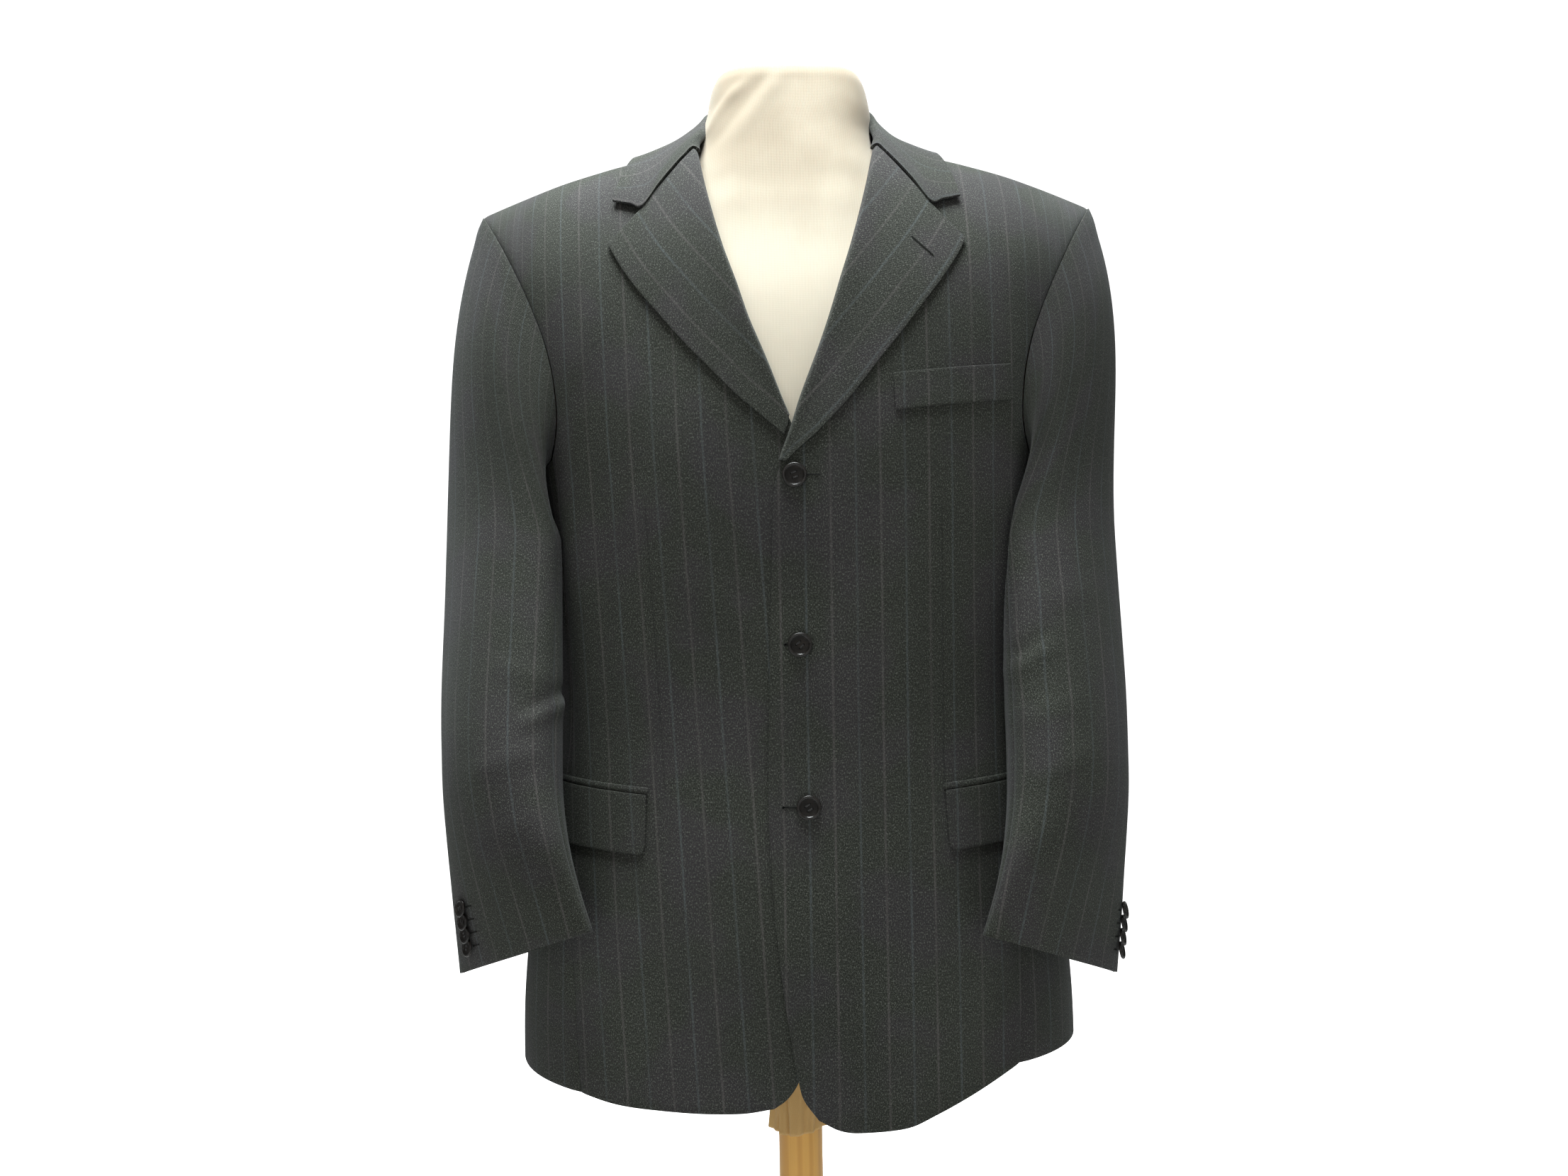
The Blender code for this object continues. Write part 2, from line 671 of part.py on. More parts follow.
def sleeve_grid(side, loop):
    """Outer points of a sleeve, ring by ring from the armhole to the cuff."""
    top = SLEEVE[0].height
    rings = [[] for _ in range(len(CAP_ROWS) + len(SLEEVE) - 1)]
    hole_ways = []
    for column, (start, normal) in enumerate(loop):
        before, after = loop[column - 1][0], loop[(column + 1) % len(loop)][0]
        hole = normal.cross(after - before).normalized()
        if hole.dot(Vector((0.30, 0.0, 1.36)) - start) < 0:
            hole = -hole
        hole_ways.append(hole)
        begin = start + hole * SEAM * 2
        turn = 2 * math.pi * column / SLEEVE_COLUMNS
        weights = (max(0.0, math.cos(turn)) ** 2, math.sin(turn) ** 2, max(0.0, -math.cos(turn)) ** 2)
        ways = (LEAVE_TOP, LEAVE_SIDE, LEAVE_PIT)
        hole_part, out_part, down_part = (sum(weight * way[k] for weight, way in zip(weights, ways))
                                          for k in range(3))
        end = tube_point(side, top, column)
        below = tube_point(side, top - 0.02, column)
        reach = (end - begin).length
        leave = (hole * hole_part + normal * out_part - Vector((0, 0, down_part))) * reach * 1.05
        arrive = (below - end).normalized() * reach
        for k, t in enumerate(CAP_ROWS):
            point = hermite(begin, leave, end, arrive, t)
            if k and point.z < ARMHOLE_FRONT[0].height:
                point = off_body(point, min(SLEEVE_CLEAR, 0.8 * (point - begin).length + MM))
            rings[k].append(point)
        for k, section in enumerate(SLEEVE[1:]):
            point = off_body(tube_point(side, section.height, column), SLEEVE_CLEAR)
            rings[len(CAP_ROWS) + k].append(point)
    return rings, hole_ways


def ring_normals(rings, hole_ways):
    """Outward normals of the sleeve's rings, kept off the panels at the armhole."""
    normals = []
    for k, ring in enumerate(rings):
        low, high = rings[max(k - 1, 0)], rings[min(k + 1, len(rings) - 1)]
        row = []
        for c in range(len(ring)):
            around = ring[(c + 1) % len(ring)] - ring[c - 1]
            along = high[c] - low[c]
            normal = around.cross(along).normalized()
            if k == 0 and normal.dot(hole_ways[c]) > 0:
                normal = (normal - hole_ways[c] * normal.dot(hole_ways[c])).normalized()
            row.append(normal)
        normals.append(row)
    return normals


def sleeve_half(name, side, rings, normals, columns, material):
    """The wall of one half of a sleeve, over a run of columns."""
    count = len(rings[0])
    outer, inner = [], []
    for ring, turned_row in zip(rings, normals):
        row, row_in = [], []
        for place_in_run, c in enumerate(columns):
            point, normal = ring[c % count], turned_row[c % count]
            if place_in_run == 0:
                point = point + (ring[(c + 1) % count] - point).normalized() * SEAM * 0.9
            if place_in_run == len(columns) - 1:
                point = point + (ring[(c - 1) % count] - point).normalized() * SEAM * 0.9
            row.append(mirrored(point, side.sign))
            row_in.append(mirrored(point - normal * CLOTH, side.sign))
        outer.append(row)
        inner.append(row_in)
    wall(name, outer, inner, material)


def tent(u, peak):
    """Rises evenly from 0 to 1 at the peak and falls back to 0 at the end."""
    return u / peak if u < peak else (1 - u) / (1 - peak)


def lapel(side, material):
    """A lapel from its roll line to its outer edge, folded round the front's edge."""
    roll_low, edge_low = (1.2515, 1.2505) if side.sign > 0 else (1.2860, 1.2720)
    rows, spans = 14, (0.0, 0.10, 0.30, NOTCH_SHARE, 0.80, 1.0)
    notch_fall = -0.0053
    outer, inner = [], []
    for r in range(rows + 1):
        t = r / rows
        z_roll = mix(roll_low, GORGE_HEIGHT - SEAM, t)
        z_edge = mix(edge_low, LAPEL_POINT_HEIGHT, t)
        x_roll = smooth(side.edge, "height", z_roll, "across")
        x_edge = smooth(side.lapel_edge, "height", z_edge, "across")
        w_roll, w_edge = unroll(x_roll, z_roll), unroll(x_edge, z_edge)
        base = body(x_roll, w_roll)
        normal = body_normal(x_roll, w_roll)
        over = (body(x_edge, w_edge) - base)
        over = (over - normal * over.dot(normal)).normalized()
        lift = side.rise(x_roll)
        fold = LAPEL_ROLL * ease(t * 4 + 0.25)
        row = [base - over * (SEAM * 4 + MM + fold) + normal * (lift - CLOTH * 0.7)]
        row_in = [base - over * SEAM * 4 + normal * (lift - CLOTH * 0.7)]
        for u in spans:
            x, w = mix(x_roll, x_edge, u), mix(w_roll, w_edge, u)
            w += notch_fall * t**6 * tent(u, NOTCH_SHARE)
            normal = body_normal(x, w)
            low = side.rise(x) + LAPEL_LIE
            roll_out = 1.2 * MM * (1 - ease(u * 3)) * ease(t * 4)
            row.append(body(x, w) + normal * (low + LAPEL + roll_out) - over * fold * 0.5 * (u == 0))
            row_in.append(body(x, w) + normal * low)
        outer.append([mirrored(p, side.sign) for p in row])
        inner.append([mirrored(p, side.sign) for p in row_in])
    wall("lapel_" + side.name, outer, inner, material)


def neckline(side, station):
    """Place and unrolled height of the panels' edge along the neck."""
    if station <= COLLAR_SHOULDER:
        w = CHEST + ARCH * mix(GORGE_SHARE, 1.0, station / COLLAR_SHOULDER)
        return min(edge_across(side, w), NECK_POINT), w
    x = NECK_POINT * math.cos(math.pi / 2 * (station - COLLAR_SHOULDER) / (1 - COLLAR_SHOULDER))
    return x, 2 * CREST - back_neckline(x)


def neck_edge(side, station):
    """The panels' edge along the neck: point, outward normal and the way into the neck's hole."""
    x, w = neckline(side, station)
    along = body(*neckline(side, min(1.0, station + 0.02))) - body(*neckline(side, max(0.0, station - 0.02)))
    base, normal = body(x, w), body_normal(x, w)
    if x < STEP:
        along, normal = Vector((-1, 0, 0)), Vector((0, normal.y, normal.z)).normalized()
    hole = normal.cross(along).normalized()
    return base, normal, hole if hole.dot(Vector((0, 0, base.z)) - base) > 0 else -hole


def on_body(x, share, rise):
    """Point over the body, at a share of the arch and a rise over the surface."""
    w = CHEST + ARCH * share
    return body(x, w) + body_normal(x, w) * rise


def across_leaf(edge, middle, end, t, free):
    """A leaf's value at t: bent at its middle where it is sewn down, smooth where it is free."""
    bent = mix(edge, middle, t * 2) if t < 0.5 else mix(middle, end, t * 2 - 1)
    curved = edge * (1 - t) * (1 - 2 * t) + middle * 4 * t * (1 - t) + end * t * (2 * t - 1)
    return mix(bent, curved, free)


def collar(sides):
    """Grid of the collar's outer face: up its leaf, over the fold and down the stand inside."""
    stations = [(s, sides[0]) for s in COLLAR_STATIONS] + [(s, sides[1]) for s in COLLAR_STATIONS[-2::-1]]
    low = LIE + COLLAR
    outer = []
    for station, side in stations:
        row = {name: smooth(COLLAR_HALF, "station", station, name) for name in Collar._fields[1:]}
        base, normal, hole = neck_edge(side, station)
        free = ease(station * 5)
        end_x, end_w = neckline(side, station)
        end_share = (end_w - CHEST) / ARCH
        laid = []
        for t in COLLAR_LEAF + [1.0]:
            x = across_leaf(row["edge_x"], row["mid_x"], end_x, t, free)
            share = across_leaf(row["edge_w"], row["mid_w"], end_share, t, free)
            rise = across_leaf(low, row["mid_rise"], low + MM, t, free)
            laid.append(on_body(x, share, rise))
        fold = Vector((row["fold_x"] + side.sign * NECK_LEAN, row["fold_y"], row["fold_z"]))
        lift = (fold - laid[-1]) * free
        line = [point + lift * max(0.0, 2 * t - 1) ** COLLAR_SWEEP for point, t in zip(laid, COLLAR_LEAF + [1.0])]
        fold = line[-1]
        inward = mix(hole, (Vector((0, 0, fold.z)) - fold).normalized(), free)
        foot = base + hole * (COLLAR + 2.5 * SEAM) - normal * CLOTH * 0.6
        brow = fold + inward * (COLLAR + MM) + mix(normal * -low, Vector((0, 0, -2.5 * MM)), free)
        line += [brow, mix(brow, foot, 0.5), foot]
        outer.append([mirrored(p, side.sign) for p in line])
    return outer


def thicken(name, outer, thickness, material):
    """A wall under a grid of outer points, whose thickness follows the grid's own normals."""
    rows, columns = len(outer), len(outer[0])
    inner = []
    for r in range(rows):
        row = []
        for c in range(columns):
            up = outer[min(r + 1, rows - 1)][c] - outer[max(r - 1, 0)][c]
            across = outer[r][min(c + 1, columns - 1)] - outer[r][max(c - 1, 0)]
            normal = across.cross(up).normalized()
            row.append(outer[r][c] - normal * thickness)
        inner.append(row)
    wall(name, outer, inner, material)


def patch(name, side, corners, columns, rows, low, thickness, material, corner=0.0):
    """A piece that lies on the body: corners run low front, low back, high back, high front."""
    width = abs(corners[1].across - corners[0].across)
    outer, inner = [], []
    for r in range(rows + 1):
        v = r / rows
        row, row_in = [], []
        for c in range(columns + 1):
            u = c / columns
            u = u * u * (3 - 2 * u) * 0.35 + u * 0.65 if corner else u
            low_front, low_back, high_back, high_front = corners
            x = mix(mix(low_front.across, low_back.across, u), mix(high_front.across, high_back.across, u), v)
            z = mix(mix(low_front.height, low_back.height, u), mix(high_front.height, high_back.height, u), v)
            inset = min(u, 1 - u) * width
            if corner and r == 0 and inset < corner:
                z += corner - math.sqrt(corner**2 - (corner - inset) ** 2)
            w = unroll(x, z)
            normal = body_normal(x, w)
            base = body(x, w) + normal * side.rise(x)
            row.append(mirrored(base + normal * (low + thickness), side.sign))
            row_in.append(mirrored(base + normal * low, side.sign))
        outer.append(row)
        inner.append(row_in)
    wall(name, outer, inner, material)


def pockets(side, cloth):
    """Hip flap and jet, and on the left the chest welt."""
    flap = [Place(FLAP_FRONT + 0.002, FLAP_TOP_FRONT - FLAP_HEIGHT),
            Place(FLAP_BACK, FLAP_TOP_BACK - FLAP_HEIGHT),
            Place(FLAP_BACK, FLAP_TOP_BACK), Place(FLAP_FRONT, FLAP_TOP_FRONT)]
    patch("flap_" + side.name, side, flap, 10, 3, LIE, FLAP, cloth, FLAP_CORNER)
    gap = SEAM * 1.5
    jet = [Place(FLAP_FRONT - 0.001, FLAP_TOP_FRONT + gap), Place(FLAP_BACK, FLAP_TOP_BACK + gap),
           Place(FLAP_BACK, FLAP_TOP_BACK + gap + JET_HEIGHT),
           Place(FLAP_FRONT - 0.001, FLAP_TOP_FRONT + gap + JET_HEIGHT)]
    patch("jet_" + side.name, side, jet, 10, 1, LIE, JET, cloth)
    if side.sign > 0:
        patch("chest_welt", side, WELT_CORNERS, 5, 2, LIE, WELT, cloth)


def button_profile(diameter, thickness):
    radius = diameter / 2
    return [(radius * 0.70, 0.0), (radius, thickness * 0.35), (radius, thickness * 0.75),
            (radius * 0.90, thickness), (radius * 0.76, thickness * 0.92), (radius * 0.66, thickness * 0.62)]


def front_buttons(horn):
    for number, spot in enumerate(BUTTONS, start=1):
        normal = body_normal(spot.across, unroll(spot.across, spot.height))
        base = body(spot.across, spot.height) + normal * (lap(spot.across) + SEAM * 0.5)
        turned("front_button_%d" % number, button_profile(BUTTON, BUTTON_THICK), 20, horn, base, normal)


def ring_mix(ring, column):
    """Value between two neighbouring columns of a closed ring."""
    low = math.floor(column)
    return mix(ring[low % len(ring)], ring[(low + 1) % len(ring)], column - low)


def cuff_buttons(side, rings, normals, horn):
    """Four buttons up the back of the sleeve's outer half, each over the next one down."""
    column = CUFF_COLUMN[side.name]
    hem, above = ring_mix(rings[-1], column), ring_mix(rings[-3], column)
    up = (above - hem).normalized()
    normal = ring_mix(normals[-2], column)
    normal = (normal - up * normal.dot(up)).normalized()
    lean = math.radians(CUFF_LEAN)
    axis = normal * math.cos(lean) + up * math.sin(lean)
    lift = CUFF_BUTTON / 2 * math.sin(lean) + SEAM * 2
    for number in range(CUFF_BUTTONS):
        share = (CUFF_FROM_HEM + CUFF_PITCH * number) / (above - hem).length
        base = mix(hem, above, share) + normal * lift
        turned("cuff_button_%s_%d" % (side.name, number + 1), button_profile(CUFF_BUTTON, CUFF_BUTTON_THICK),
               14, horn, mirrored(base, side.sign), mirrored(axis, side.sign))


def form_reach(angle, z):
    """Distance from the axis to the dress form's side, at a height and an angle."""
    way = Vector((math.cos(angle), math.sin(angle)))
    back = way.y > 0

    def inside(r):
        x, y = abs(way.x * r), abs(way.y * r)
        half_width = smooth(FORM, "height", z, "half_width")
        depth = smooth(FORM, "height", z, "back_depth" if back else "front_depth")
        if x >= half_width:
            return False
        reach = depth * (1 - (x / half_width) ** ROUND) ** (1 / ROUND)
        if z > CHEST:
            top = ridge(x) - CLOTH - SHOULDER_REST - NECK_REST * ease((0.15 - x) / 0.04)
            if z >= top:
                return False
            reach *= (1 - ((z - CHEST) / (top - CHEST)) ** FORM_ROUND) ** (1 / FORM_ROUND)
        return y < reach

    low, high = 0.0, 0.35
    for _ in range(40):
        middle = (low + high) / 2
        low, high = (middle, high) if inside(middle) else (low, middle)
    if z < NECK_START:
        return low
    half_width = smooth(NECK, "height", z, "half_width")
    depth = smooth(NECK, "height", z, "back_depth" if back else "front_depth")
    power = 2.0 if back else NECK_ROUND
    neck = (abs(way.x / half_width) ** power + abs(way.y / depth) ** power) ** (-1 / power)
    blend = 0.012
    near = max(blend - abs(low - neck), 0.0) / blend
    return max(low, neck) + near * near * blend * 0.25


def dress_form(cover):
    bm = bmesh.new()
    rings = []
    for z in FORM_RINGS:
        lean = NECK_LEAN * ease((z - 1.540) / 0.030)
        ring = []
        for k in range(FORM_SIDES):
            angle = 2 * math.pi * k / FORM_SIDES
            r = form_reach(angle, z)
            ring.append(bm.verts.new((r * math.cos(angle) + lean, r * math.sin(angle), z)))
        rings.append(ring)
    skin(bm, rings)
    place("dress_form", bm, cover)


def cover_tail(cover):
    """The end of the form's cover, gathered round the top of the pole."""
    rows = [Place(0.0340, TAIL_TOP), Place(0.0275, 0.7600), Place(0.0235, 0.7350), Place(0.0232, 0.7120),
            Place(0.0250, 0.6900), Place(0.0262, TAIL_BOTTOM)]
    count = TAIL_PLEATS * 4
    inside = POLE_RADIUS + 0.5 * MM
    outer, inner = [], []
    for spot in rows:
        depth = 1.6 * MM * ease((TAIL_TOP - spot.height) / 0.02 + 0.2)
        ring, ring_in = [], []
        for k in range(count + 1):
            angle = 2 * math.pi * k / count
            radius = spot.across + depth * math.cos(TAIL_PLEATS * angle)
            drop = 0.006 * math.sin(angle + 0.6) * ease((0.72 - spot.height) / 0.05)
            ring.append(Vector((radius * math.cos(angle), radius * math.sin(angle), spot.height + drop)))
            ring_in.append(Vector((inside * math.cos(angle), inside * math.sin(angle), spot.height + drop)))
        outer.append(ring)
        inner.append(ring_in)
    bm = bmesh.new()
    rings = []
    for points in outer + inner[::-1]:
        rings.append([bm.verts.new(p) for p in points[:-1]])
    for low, high in zip(rings, rings[1:] + rings[:1]):
        for k in range(count):
            n = (k + 1) % count
            bm.faces.new((low[k], low[n], high[n], high[k]))
    place("cover_tail", bm, cover)


def stand(wood):
    pole_bottom = BASE_HEIGHT + SEAM
    pole_top = FORM[0].height - SEAM
    turned("pole", [(POLE_RADIUS, pole_bottom), (POLE_RADIUS, pole_top)], POLE_SIDES, wood,
           Vector((0, 0, 0)), Vector((0, 0, 1)))
    base = [(BASE_RADIUS - 0.004, 0.0), (BASE_RADIUS, 0.004), (BASE_RADIUS, BASE_HEIGHT - 0.010),
            (BASE_RADIUS - 0.004, BASE_HEIGHT - 0.004), (BASE_RADIUS - 0.014, BASE_HEIGHT)]
    turned("base", base, BASE_SIDES, wood, Vector((0, 0, 0)), Vector((0, 0, 1)))


def main():
    for thing in list(bpy.data.objects):
        bpy.data.objects.remove(thing)
    cloth = surface("charcoal_pinstripe_wool", (0.045, 0.047, 0.050), 0.90)
    cover = surface("cream_jersey", (0.78, 0.71, 0.62), 0.85)
    horn = surface("dark_horn_button", (0.035, 0.030, 0.027), 0.35)
    wood = surface("light_wood", (0.62, 0.42, 0.22), 0.50)
    sides = [Side(1, EDGE_LEFT, HEM_LEFT, LAPEL_EDGE_LEFT), Side(-1, EDGE_RIGHT, HEM_RIGHT, LAPEL_EDGE_RIGHT)]
    for side in sides:
        front, side_panel, back = front_grid(side), side_grid(side), back_grid(side)
        panel("front_" + side.name, side, front, cloth)
        panel("side_" + side.name, side, side_panel, cloth)
        panel("back_" + side.name, side, back, cloth)
        rings, hole_ways = sleeve_grid(side, armhole_loop(front, side_panel, back))
        normals = ring_normals(rings, hole_ways)
        back_seam = BACK_SEAM_COLUMN[side.name]
        top_run = list(range(back_seam, SLEEVE_COLUMNS + FRONT_SEAM_COLUMN + 1))
        under_run = list(range(FRONT_SEAM_COLUMN, back_seam + 1))
        sleeve_half("sleeve_top_" + side.name, side, rings, normals, top_run, cloth)
        sleeve_half("sleeve_under_" + side.name, side, rings, normals, under_run, cloth)
        lapel(side, cloth)
        pockets(side, cloth)
        cuff_buttons(side, rings, normals, horn)
    thicken("collar", collar(sides), COLLAR, cloth)
    front_buttons(horn)
    dress_form(cover)
    cover_tail(cover)
    stand(wood)


main()
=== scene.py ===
import math
from bisect import bisect_right
from collections import namedtuple

import bmesh
import bpy
from mathutils import Matrix, Vector, noise


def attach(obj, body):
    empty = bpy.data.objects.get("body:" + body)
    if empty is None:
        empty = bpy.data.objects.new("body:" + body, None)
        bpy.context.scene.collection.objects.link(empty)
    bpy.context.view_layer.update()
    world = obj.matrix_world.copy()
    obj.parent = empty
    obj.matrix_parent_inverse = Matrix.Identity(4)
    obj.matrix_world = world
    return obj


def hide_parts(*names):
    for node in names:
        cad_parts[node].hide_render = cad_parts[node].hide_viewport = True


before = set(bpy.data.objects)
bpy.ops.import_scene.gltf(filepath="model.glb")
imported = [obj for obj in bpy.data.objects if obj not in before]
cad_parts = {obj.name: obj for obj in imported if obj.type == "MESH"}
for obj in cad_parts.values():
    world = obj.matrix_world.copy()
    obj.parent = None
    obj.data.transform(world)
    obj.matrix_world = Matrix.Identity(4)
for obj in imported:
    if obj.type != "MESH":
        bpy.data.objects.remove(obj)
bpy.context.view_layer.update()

MM = 0.001
# Cloth and seams
CLOTH = 1.8 * MM            # wall of the jacket's cloth, with its canvas
SEAM = 0.3 * MM             # gap between two pieces that are sewn together
LIE = 0.7 * MM              # height of a piece's underside over the panel it lies on
LAPEL = 2.2 * MM            # lapel, facing and canvas together
LAPEL_LIE = 1.1 * MM        # height of its underside over the front
COLLAR = 2.2 * MM
FLAP = 1.8 * MM
WELT = 1.4 * MM
JET = 1.6 * MM

# The body surface: level sections, each a superellipse
Level = namedtuple("Level", "height half_width front_depth back_depth")
BODY = [
    Level(0.700, 0.2465, 0.150, 0.140),
    Level(0.800, 0.2440, 0.150, 0.142),
    Level(0.900, 0.2330, 0.149, 0.138),
    Level(1.020, 0.2120, 0.145, 0.125),
    Level(1.120, 0.2120, 0.149, 0.130),
    Level(1.250, 0.2260, 0.155, 0.143),
    Level(1.350, 0.2560, 0.151, 0.150),
    Level(1.450, 0.2880, 0.150, 0.150),
    Level(1.580, 0.3100, 0.150, 0.150),
]
ROUND = 2.2                 # exponent of the level sections
SHOULDER_ROUND = 2.4        # exponent of the arch from chest over the shoulder to the back
NAPE_ROUND = 3.2            # the same at the centre back, where the nape stands fuller
NAPE_WIDTH = 0.160
CHEST = 1.280               # height at which the arch starts
ARCH = 0.300                # length given to the arch from there to the shoulder line
CREST = CHEST + ARCH        # unrolled height of the shoulder line

# Shoulder line, seen from the front
Place = namedtuple("Place", "across height")
SHOULDER = [
    Place(0.0000, 1.5690),
    Place(0.0300, 1.5660),
    Place(0.0850, 1.5460),
    Place(0.1200, 1.5325),
    Place(0.1550, 1.5238),
    Place(0.2000, 1.5115),
    Place(0.2715, 1.4865),
    Place(0.3100, 1.4730),
]
NECK_POINT = 0.0850         # where the neckline meets the shoulder line
SHOULDER_POINT = 0.2715

# Armhole, front and back, from the side seams up to the shoulder point
ARMHOLE_FRONT = [
    Place(0.2030, 1.2620),
    Place(0.1960, 1.2880),
    Place(0.1970, 1.3230),
    Place(0.2040, 1.3560),
    Place(0.2170, 1.3900),
    Place(0.2330, 1.4230),
    Place(0.2520, 1.4570),
    Place(0.2715, 1.4865),
]
ARMHOLE_BACK = [
    Place(0.2100, 1.2700),
    Place(0.2060, 1.2950),
    Place(0.2070, 1.3250),
    Place(0.2130, 1.3560),
    Place(0.2240, 1.3900),
    Place(0.2390, 1.4230),
    Place(0.2550, 1.4570),
    Place(0.2715, 1.4865),
]
ARMPIT_DROP = 0.022         # the armhole's lowest point below its two side seams

# Front edges, from the hem's round corner up to the neck point, towards the wearer's own side
EDGE_LEFT = [
    Place(0.0140, 0.7244),
    Place(0.0024, 0.7405),
    Place(-0.0014, 0.7536),
    Place(-0.0066, 0.7841),
    Place(-0.0136, 0.8356),
    Place(-0.0189, 0.8948),
    Place(-0.0220, 0.9544),
    Place(-0.0219, 1.0086),
    Place(-0.0202, 1.0643),
    Place(-0.0183, 1.1239),
    Place(-0.0158, 1.1893),
    Place(-0.0135, 1.2286),
    Place(-0.0087, 1.2482),
    Place(0.0031, 1.2779),
    Place(0.0115, 1.3020),
    Place(0.0260, 1.3400),
    Place(0.0350, 1.3660),
    Place(0.0440, 1.3950),
    Place(0.0550, 1.4300),
    Place(0.0670, 1.4750),
    Place(0.0755, 1.5130),
    Place(0.0800, 1.5310),
    Place(0.0850, 1.5460),
]
EDGE_RIGHT = [
    Place(0.0215, 0.7334),
    Place(0.0112, 0.7407),
    Place(0.0020, 0.7536),
    Place(-0.0060, 0.7750),
    Place(-0.0130, 0.8200),
    Place(-0.0170, 0.8800),
    Place(-0.0180, 1.0000),
    Place(-0.0180, 1.1200),
    Place(-0.0175, 1.2000),
    Place(-0.0150, 1.2350),
    Place(-0.0100, 1.2600),
    Place(-0.0020, 1.2790),
    Place(0.0085, 1.3020),
    Place(0.0240, 1.3400),
    Place(0.0345, 1.3660),
    Place(0.0440, 1.3950),
    Place(0.0560, 1.4300),
    Place(0.0680, 1.4750),
    Place(0.0760, 1.5130),
    Place(0.0800, 1.5310),
    Place(0.0850, 1.5460),
]

# Hems, from the front corner round to the side seam
HEM_LEFT = [
    Place(0.0140, 0.7244),
    Place(0.0297, 0.7161),
    Place(0.0455, 0.7132),
    Place(0.0855, 0.7138),
    Place(0.1106, 0.7225),
    Place(0.1398, 0.7345),
    Place(0.1791, 0.7520),
    Place(0.2100, 0.7650),
]
HEM_RIGHT = [
    Place(0.0215, 0.7334),
    Place(0.0453, 0.7294),
    Place(0.0772, 0.7282),
    Place(0.1136, 0.7287),
    Place(0.1511, 0.7299),
    Place(0.1791, 0.7340),
    Place(0.2100, 0.7400),
]
HEM_BACK = 0.7560           # height of the hem at the centre back

# Side seams: angle round the body from the centre front, by share of the way up to the armhole
Seam = namedtuple("Seam", "share front back")
SIDE_SEAMS = [
    Seam(0.00, 46.0, 122.0),
    Seam(0.20, 50.0, 122.0),
    Seam(0.45, 61.0, 121.0),
    Seam(0.75, 65.0, 117.0),
    Seam(1.00, 62.0, 114.0),
]

# Lapels: outer edge, from the V's bottom up to the lapel point
LAPEL_EDGE_LEFT = [
    Place(-0.0110, 1.2450),
    Place(-0.0045, 1.2505),
    Place(0.0050, 1.2598),
    Place(0.0210, 1.2735),
    Place(0.0480, 1.3020),
    Place(0.0725, 1.3330),
    Place(0.0897, 1.3540),
    Place(0.1089, 1.3790),
    Place(0.1225, 1.3968),
    Place(0.1370, 1.4180),
    Place(0.1460, 1.4346),
]
LAPEL_EDGE_RIGHT = [
    Place(-0.0020, 1.2660),
    Place(0.0040, 1.2710),
    Place(0.0166, 1.2822),
    Place(0.0420, 1.3043),
    Place(0.0635, 1.3267),
    Place(0.0834, 1.3477),
    Place(0.1045, 1.3728),
    Place(0.1245, 1.3975),
    Place(0.1360, 1.4146),
    Place(0.1470, 1.4346),
]
GORGE_HEIGHT = 1.5190       # where the gorge seam meets the roll line
NOTCH_SHARE = 0.5956        # where the notch lies along the lapel's top edge
LAPEL_POINT_HEIGHT = 1.4346
LAPEL_ROLL = 1.6 * MM       # how far the fold stands out past the roll line

# The left front laps over the right one
LAP_FULL, LAP_NONE = 0.035, 0.075
LAP_RISE = CLOTH + 2 * SEAM

# Collar, one half, from the gorge (station 0) by the shoulder line to the centre back (station 1)
# The fold is a place in space; middle and edge are places on the body, with a rise over it
Collar = namedtuple("Collar", "station fold_x fold_y fold_z mid_x mid_w mid_rise edge_x edge_w")
COLLAR_HALF = [
    Collar(0.00, 0.0790, -0.0960, 1.5230, 0.1182, 0.4866, 0.0029, 0.1440, 0.5364),
    Collar(0.12, 0.0768, -0.0720, 1.5370, 0.1110, 0.620, 0.0030, 0.1395, 0.628),
    Collar(0.28, 0.0745, -0.0400, 1.5560, 0.1000, 0.780, 0.0034, 0.1325, 0.780),
    Collar(0.46, 0.0722, 0.0000, 1.5770, 0.0935, 0.975, 0.0042, 0.1265, 0.990),
    Collar(0.64, 0.0640, 0.0290, 1.5870, 0.0800, 1.120, 0.0070, 0.1045, 1.163),
    Collar(0.82, 0.0385, 0.0550, 1.5955, 0.0457, 1.200, 0.0100, 0.0574, 1.284),
    Collar(1.00, 0.0000, 0.0655, 1.5995, 0.0000, 1.220, 0.0105, 0.0000, 1.300),
]
COLLAR_STATIONS = [0.0, 0.06, 0.13, 0.22, 0.32, 0.40, 0.46, 0.55, 0.64, 0.73, 0.82, 0.91, 1.0]
COLLAR_LEAF = [0.0, 0.12, 0.30, 0.50, 0.68, 0.84, 0.94]     # shares of the way from edge to fold
COLLAR_SWEEP = 2.0          # how hollow the leaf is where it climbs to the fold
COLLAR_SHOULDER = 0.46      # station at which the collar passes the shoulder line
GORGE_SHARE = 0.678         # share of the arch at which the gorge meets the front's edge
NECK_BACK = 0.072           # how far the neck seam lies behind the shoulder line at the centre back
NECK_LEAN = 0.0035          # the neck and the collar's fold stand this much to the wearer's left

